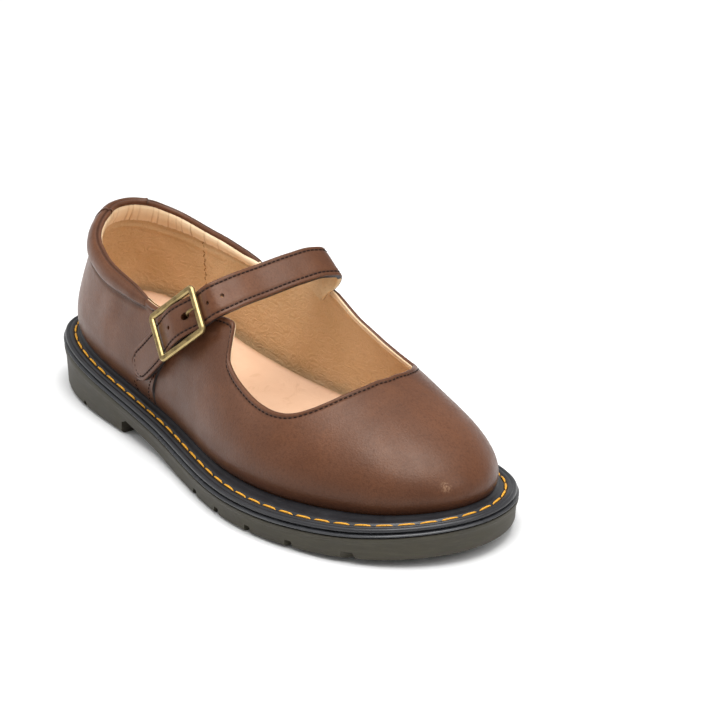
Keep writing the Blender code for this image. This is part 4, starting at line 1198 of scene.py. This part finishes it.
def make_strap():
    count = 360
    middle, across, normal = strap_frame(count)
    length = run_length(middle)
    tip = np.clip(length / (STRAP_WIDTH * 0.55), 0, 1)
    half = STRAP_WIDTH / 2 * (0.30 + 0.70 * np.sqrt(1 - (1 - tip) ** 2))
    t = STRAP_THICKNESS
    side = np.array([0.0, 0.5, 0.80, 0.93, 0.985, 1.0, 1.0, 0.985, 0.95])
    lift = np.array([0.0, 0.0, 0.0, 0.02, 0.10, 0.28, 0.72, 0.90, 0.98])
    top_side = np.array([0.9, 0.84, 0.79, 0.755, 0.72, 0.66, 0.55, 0.40, 0.20, 0.0])
    top_lift = np.array([1.00, 0.99, 0.94, 0.90, 0.94, 1.01, 1.03, 1.04, 1.05, 1.05])
    s = np.concatenate([side, top_side, -top_side[-2::-1], -side[:0:-1]])
    z = np.concatenate([lift, top_lift, top_lift[-2::-1], lift[:0:-1]])

    def on_face(centre, level, aside, run):
        point = centre + level * aside
        return on_wall_side(point) if run < TAIL_LENGTH else point

    def station(run):
        return int(np.interp(run, length, np.arange(count)))

    rings = [[on_face(middle[i], across[i], a * half[i], length[i]) + normal[i] * b * t for a, b in zip(s, z)]
             for i in range(count)]
    highest = np.maximum(z, np.roll(z, -1))
    leather, edge, lining = range(3)
    zone = np.tile(np.where(highest < 0.03, lining, np.where(highest < 0.85, edge, leather)), (count - 1, 1))
    root = length[:-1] > length[-1] - 0.013
    zone[root] = np.where(zone[root] > 0, lining, leather)
    # Painted shade: darker along the stitch grooves on the strap's top.
    wear = np.tile(np.where((np.abs(np.abs(s) - 0.755) < 0.04) & (z > 0.8), 0.7, 0.0), (count, 1))
    band = loft("leather_strap", rings, [LEATHER, EDGE, LINING], caps=True, zone=zone, shade=wear,
                slot="brown_leather", node=("strap",), sharp=60)
    drills = []
    for k, at in enumerate(HOLES):
        i = station(at)
        radius, oval = (0.00165, 1.3) if k == 1 else (0.0009, 1)
        lead = np.cross(across[i], normal[i]) * oval
        turn = np.arange(14) / 14 * 2 * math.pi
        ring = radius * (np.outer(np.cos(turn), across[i]) + np.outer(np.sin(turn), lead))
        ends = [middle[i] + normal[i] * h + ring for h in (-0.003, 0.006)]
        drills.append(cutter("drill_%d" % k, skin(ends)))
    cut(band, *drills)
    inset, start = 0.0019, 0.0072
    reach = half[np.argmax(length > 0.0075)] - inset
    runs = np.arange(length[-1] - 0.001, start, -0.0006)
    lines = {
        "strap_near_stitches": [(run, half[station(run)] - inset) for run in runs],
        "strap_far_stitches": [(run, inset - half[station(run)]) for run in runs],
        "strap_tip_stitches": [(start - (start - inset) * math.cos(bend), reach * math.sin(bend))
                               for bend in np.radians(np.linspace(-90, 90, 41))],
    }
    for name, line in lines.items():
        path, out = [], []
        for run, aside in line:
            centre, level, up = (point_at(run, length, rows) for rows in (middle, across, normal))
            path.append(on_face(centre, level, aside, run) + up * t * 0.95)
            out.append(up)
        stitches(name, path, out, *LEATHER_ROW)


# Buckle

def brass(name, points, level, up, section, along=False, **more):
    """A piece swept along points; each section point's numbers go along level and along up."""
    rings = np.stack([points + level * a + up * b for a, b in section], 1)
    loft(name, rings, [BRASS], along=along, caps=not along, slot="aged_brass", **more)


def make_buckle():
    across, forward, out = AXES[1:]
    half_w, half_l, r = (FRAME_WIDTH - FRAME_BAR) / 2, (FRAME_LENGTH - FRAME_BAR) / 2, FRAME_CORNER * 0.75
    corners = []
    for sx, sy, start in ((1, 1, 0), (-1, 1, 90), (-1, -1, 180), (1, -1, 270)):
        for turn in np.radians(start + np.linspace(0, 90, 9)):
            x, y = sx * (half_w - r) + r * math.cos(turn), sy * (half_l - r) + r * math.sin(turn)
            corners.append(np.array([x, y, FRAME_STANDOFF]))
    path = []
    for a, b in zip(corners, corners[1:] + corners[:1]):
        steps = 12 if np.linalg.norm(a - b) > 0.004 else 1
        path += [a + (b - a) * k / steps for k in range(steps)]
    w, h = FRAME_BAR / 2, FRAME_THICKNESS / 2
    # The last column is rub wear and painted glint: bevels and sides brighter than the flat top and the
    # underside.
    section = table(
        "across up wear",
        (-1, -0.7, 0.2), (-1, 0.35, 0.9), (-0.94, 0.5, 0.9), (-0.58, 1, 0.7), (-0.5, 1.03, 0.15),
        (0.5, 1.03, 0.15), (0.58, 1, 0.7), (0.94, 0.5, 0.9), (1, 0.35, 0.9), (1, -0.7, 0.2), (0.8, -1, 0),
        (-0.8, -1, 0),
    )
    points = place(path)
    run = unit(np.roll(points, -1, 0) - np.roll(points, 1, 0))
    level = unit(np.cross(run, out))
    brass("brass_frame", points, level, np.cross(level, run), zip(section["across"] * w, section["up"] * h),
          along=True, shade=np.tile(section["wear"], (len(points), 1)), node=("buckle_frame",), sharp=24)
    turn = np.arange(12) / 12 * 2 * math.pi
    wire = BAR_WIRE / 2 * np.column_stack([np.cos(turn), np.sin(turn)])
    points = place([(half_w * a, 0, FRAME_STANDOFF + drop * (BAR_STANDOFF - FRAME_STANDOFF)) for a, drop in (
        (-1.0, 0.0), (-0.93, 0.7), (-0.86, 1.0), (0.86, 1.0), (0.93, 0.7), (1.0, 0.0))])
    run = unit(np.gradient(points, axis=0))
    brass("brass_middle_bar", points, forward, np.cross(run, forward), wire)
    points = place(open_spline([(0, b, c) for b, c in zip(*PRONG_LINE.values())], 60))
    run = unit(np.gradient(points, axis=0))
    end = np.minimum(1.0, 0.45 + np.arange(len(points))[::-1, None] * 0.12)
    up = np.cross(across, run) * end
    brass("brass_prong", points, across * 1.05 * end, up, wire, node=("buckle_prong",))


# Stage

def make_stage():
    bpy.ops.mesh.primitive_plane_add(size=5, location=(0, 0, 0))
    floor = bpy.context.object
    floor.name = "floor"
    p = Paint("pale_floor", (0.90, 0.90, 0.90), 0.8)
    p.set(Specular_IOR_Level=0.1)
    p.roughness(p.spread(p.noise(3, 2), 0.3, 0.7, 0.75, 0.85))
    floor.data.materials.append(p.mat)
    world = bpy.data.worlds.new("studio")
    bpy.context.scene.world = world
    world.use_nodes = True
    sky = world.node_tree
    sky.nodes["Background"].inputs["Color"].default_value = (1, 1, 1, 1)
    split = sky.nodes.new("ShaderNodeSeparateXYZ")
    fade = sky.nodes.new("ShaderNodeMapRange")
    for socket, value in (("From Min", 0.02), ("From Max", 0.30), ("To Min", 0.95), ("To Max", 0.42)):
        fade.inputs[socket].default_value = value
    sky.links.new(sky.nodes.new("ShaderNodeTexCoord").outputs["Generated"], split.inputs[0])
    sky.links.new(split.outputs["Z"], fade.inputs["Value"])
    sky.links.new(fade.outputs["Result"], sky.nodes["Background"].inputs["Strength"])
    for name, stand, target, size, power in (
        ("top_softbox", (0.22, -0.08, 1.25), (0, 0, 0.03), 1.0, 14.5),
        ("left_softbox", (-0.85, -1.00, 0.75), (0, 0, 0.05), 0.7, 2.2),
        ("right_softbox", (1.00, 0.25, 0.80), (0, 0, 0.05), 0.6, 3.0),
    ):
        lamp = new_lamp(name, "AREA", power)
        lamp.data.shape, lamp.data.size = "DISK", size
        lamp.location = stand
        lamp.rotation_euler = (Vector(target) - Vector(stand)).to_track_quat("-Z", "Y").to_euler()
    new_lamp("ceiling_fill", "SUN", 0.9).data.angle = math.radians(80)


def new_lamp(name, kind, energy):
    light = bpy.data.lights.new(name, kind)
    light.energy = energy
    lamp = bpy.data.objects.new(name, light)
    bpy.context.scene.collection.objects.link(lamp)
    return lamp


# The photograph's view; right and up are how far the camera stands off the shoe's axis
AZIMUTH, ELEVATION = math.radians(51.128), math.radians(22.138)
DISTANCE, RIGHT, UP = 1.1188, 0.03865, 0.03965


def make_camera():
    flat = math.cos(ELEVATION)
    back = Vector((math.sin(AZIMUTH) * flat, -math.cos(AZIMUTH) * flat, math.sin(ELEVATION)))
    right = Vector((math.cos(AZIMUTH), math.sin(AZIMUTH), 0))
    up = back.cross(right)
    lens = bpy.data.cameras.new("camera")
    lens.lens, lens.sensor_width, lens.clip_start = 130, 36, 0.01
    camera = bpy.data.objects.new("camera", lens)
    turn = Matrix((right, up, back)).transposed().to_4x4()
    camera.matrix_world = Matrix.Translation(back * DISTANCE + right * RIGHT + up * UP + SHIFT) @ turn
    bpy.context.scene.collection.objects.link(camera)
    bpy.context.scene.camera = camera


make_outsole()
make_midsole()
make_welt()
make_footbed()
make_upper_stitches(*make_upper())
make_collar()
make_lining_binding()
make_heel_binding()
make_zigzag()
make_strap()
make_buckle()
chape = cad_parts["buckle_chape"]
chape.data.materials.clear()
chape.data.materials.append(LEATHER)
make_stage()
make_camera()
bpy.context.scene.view_settings.view_transform = "Standard"
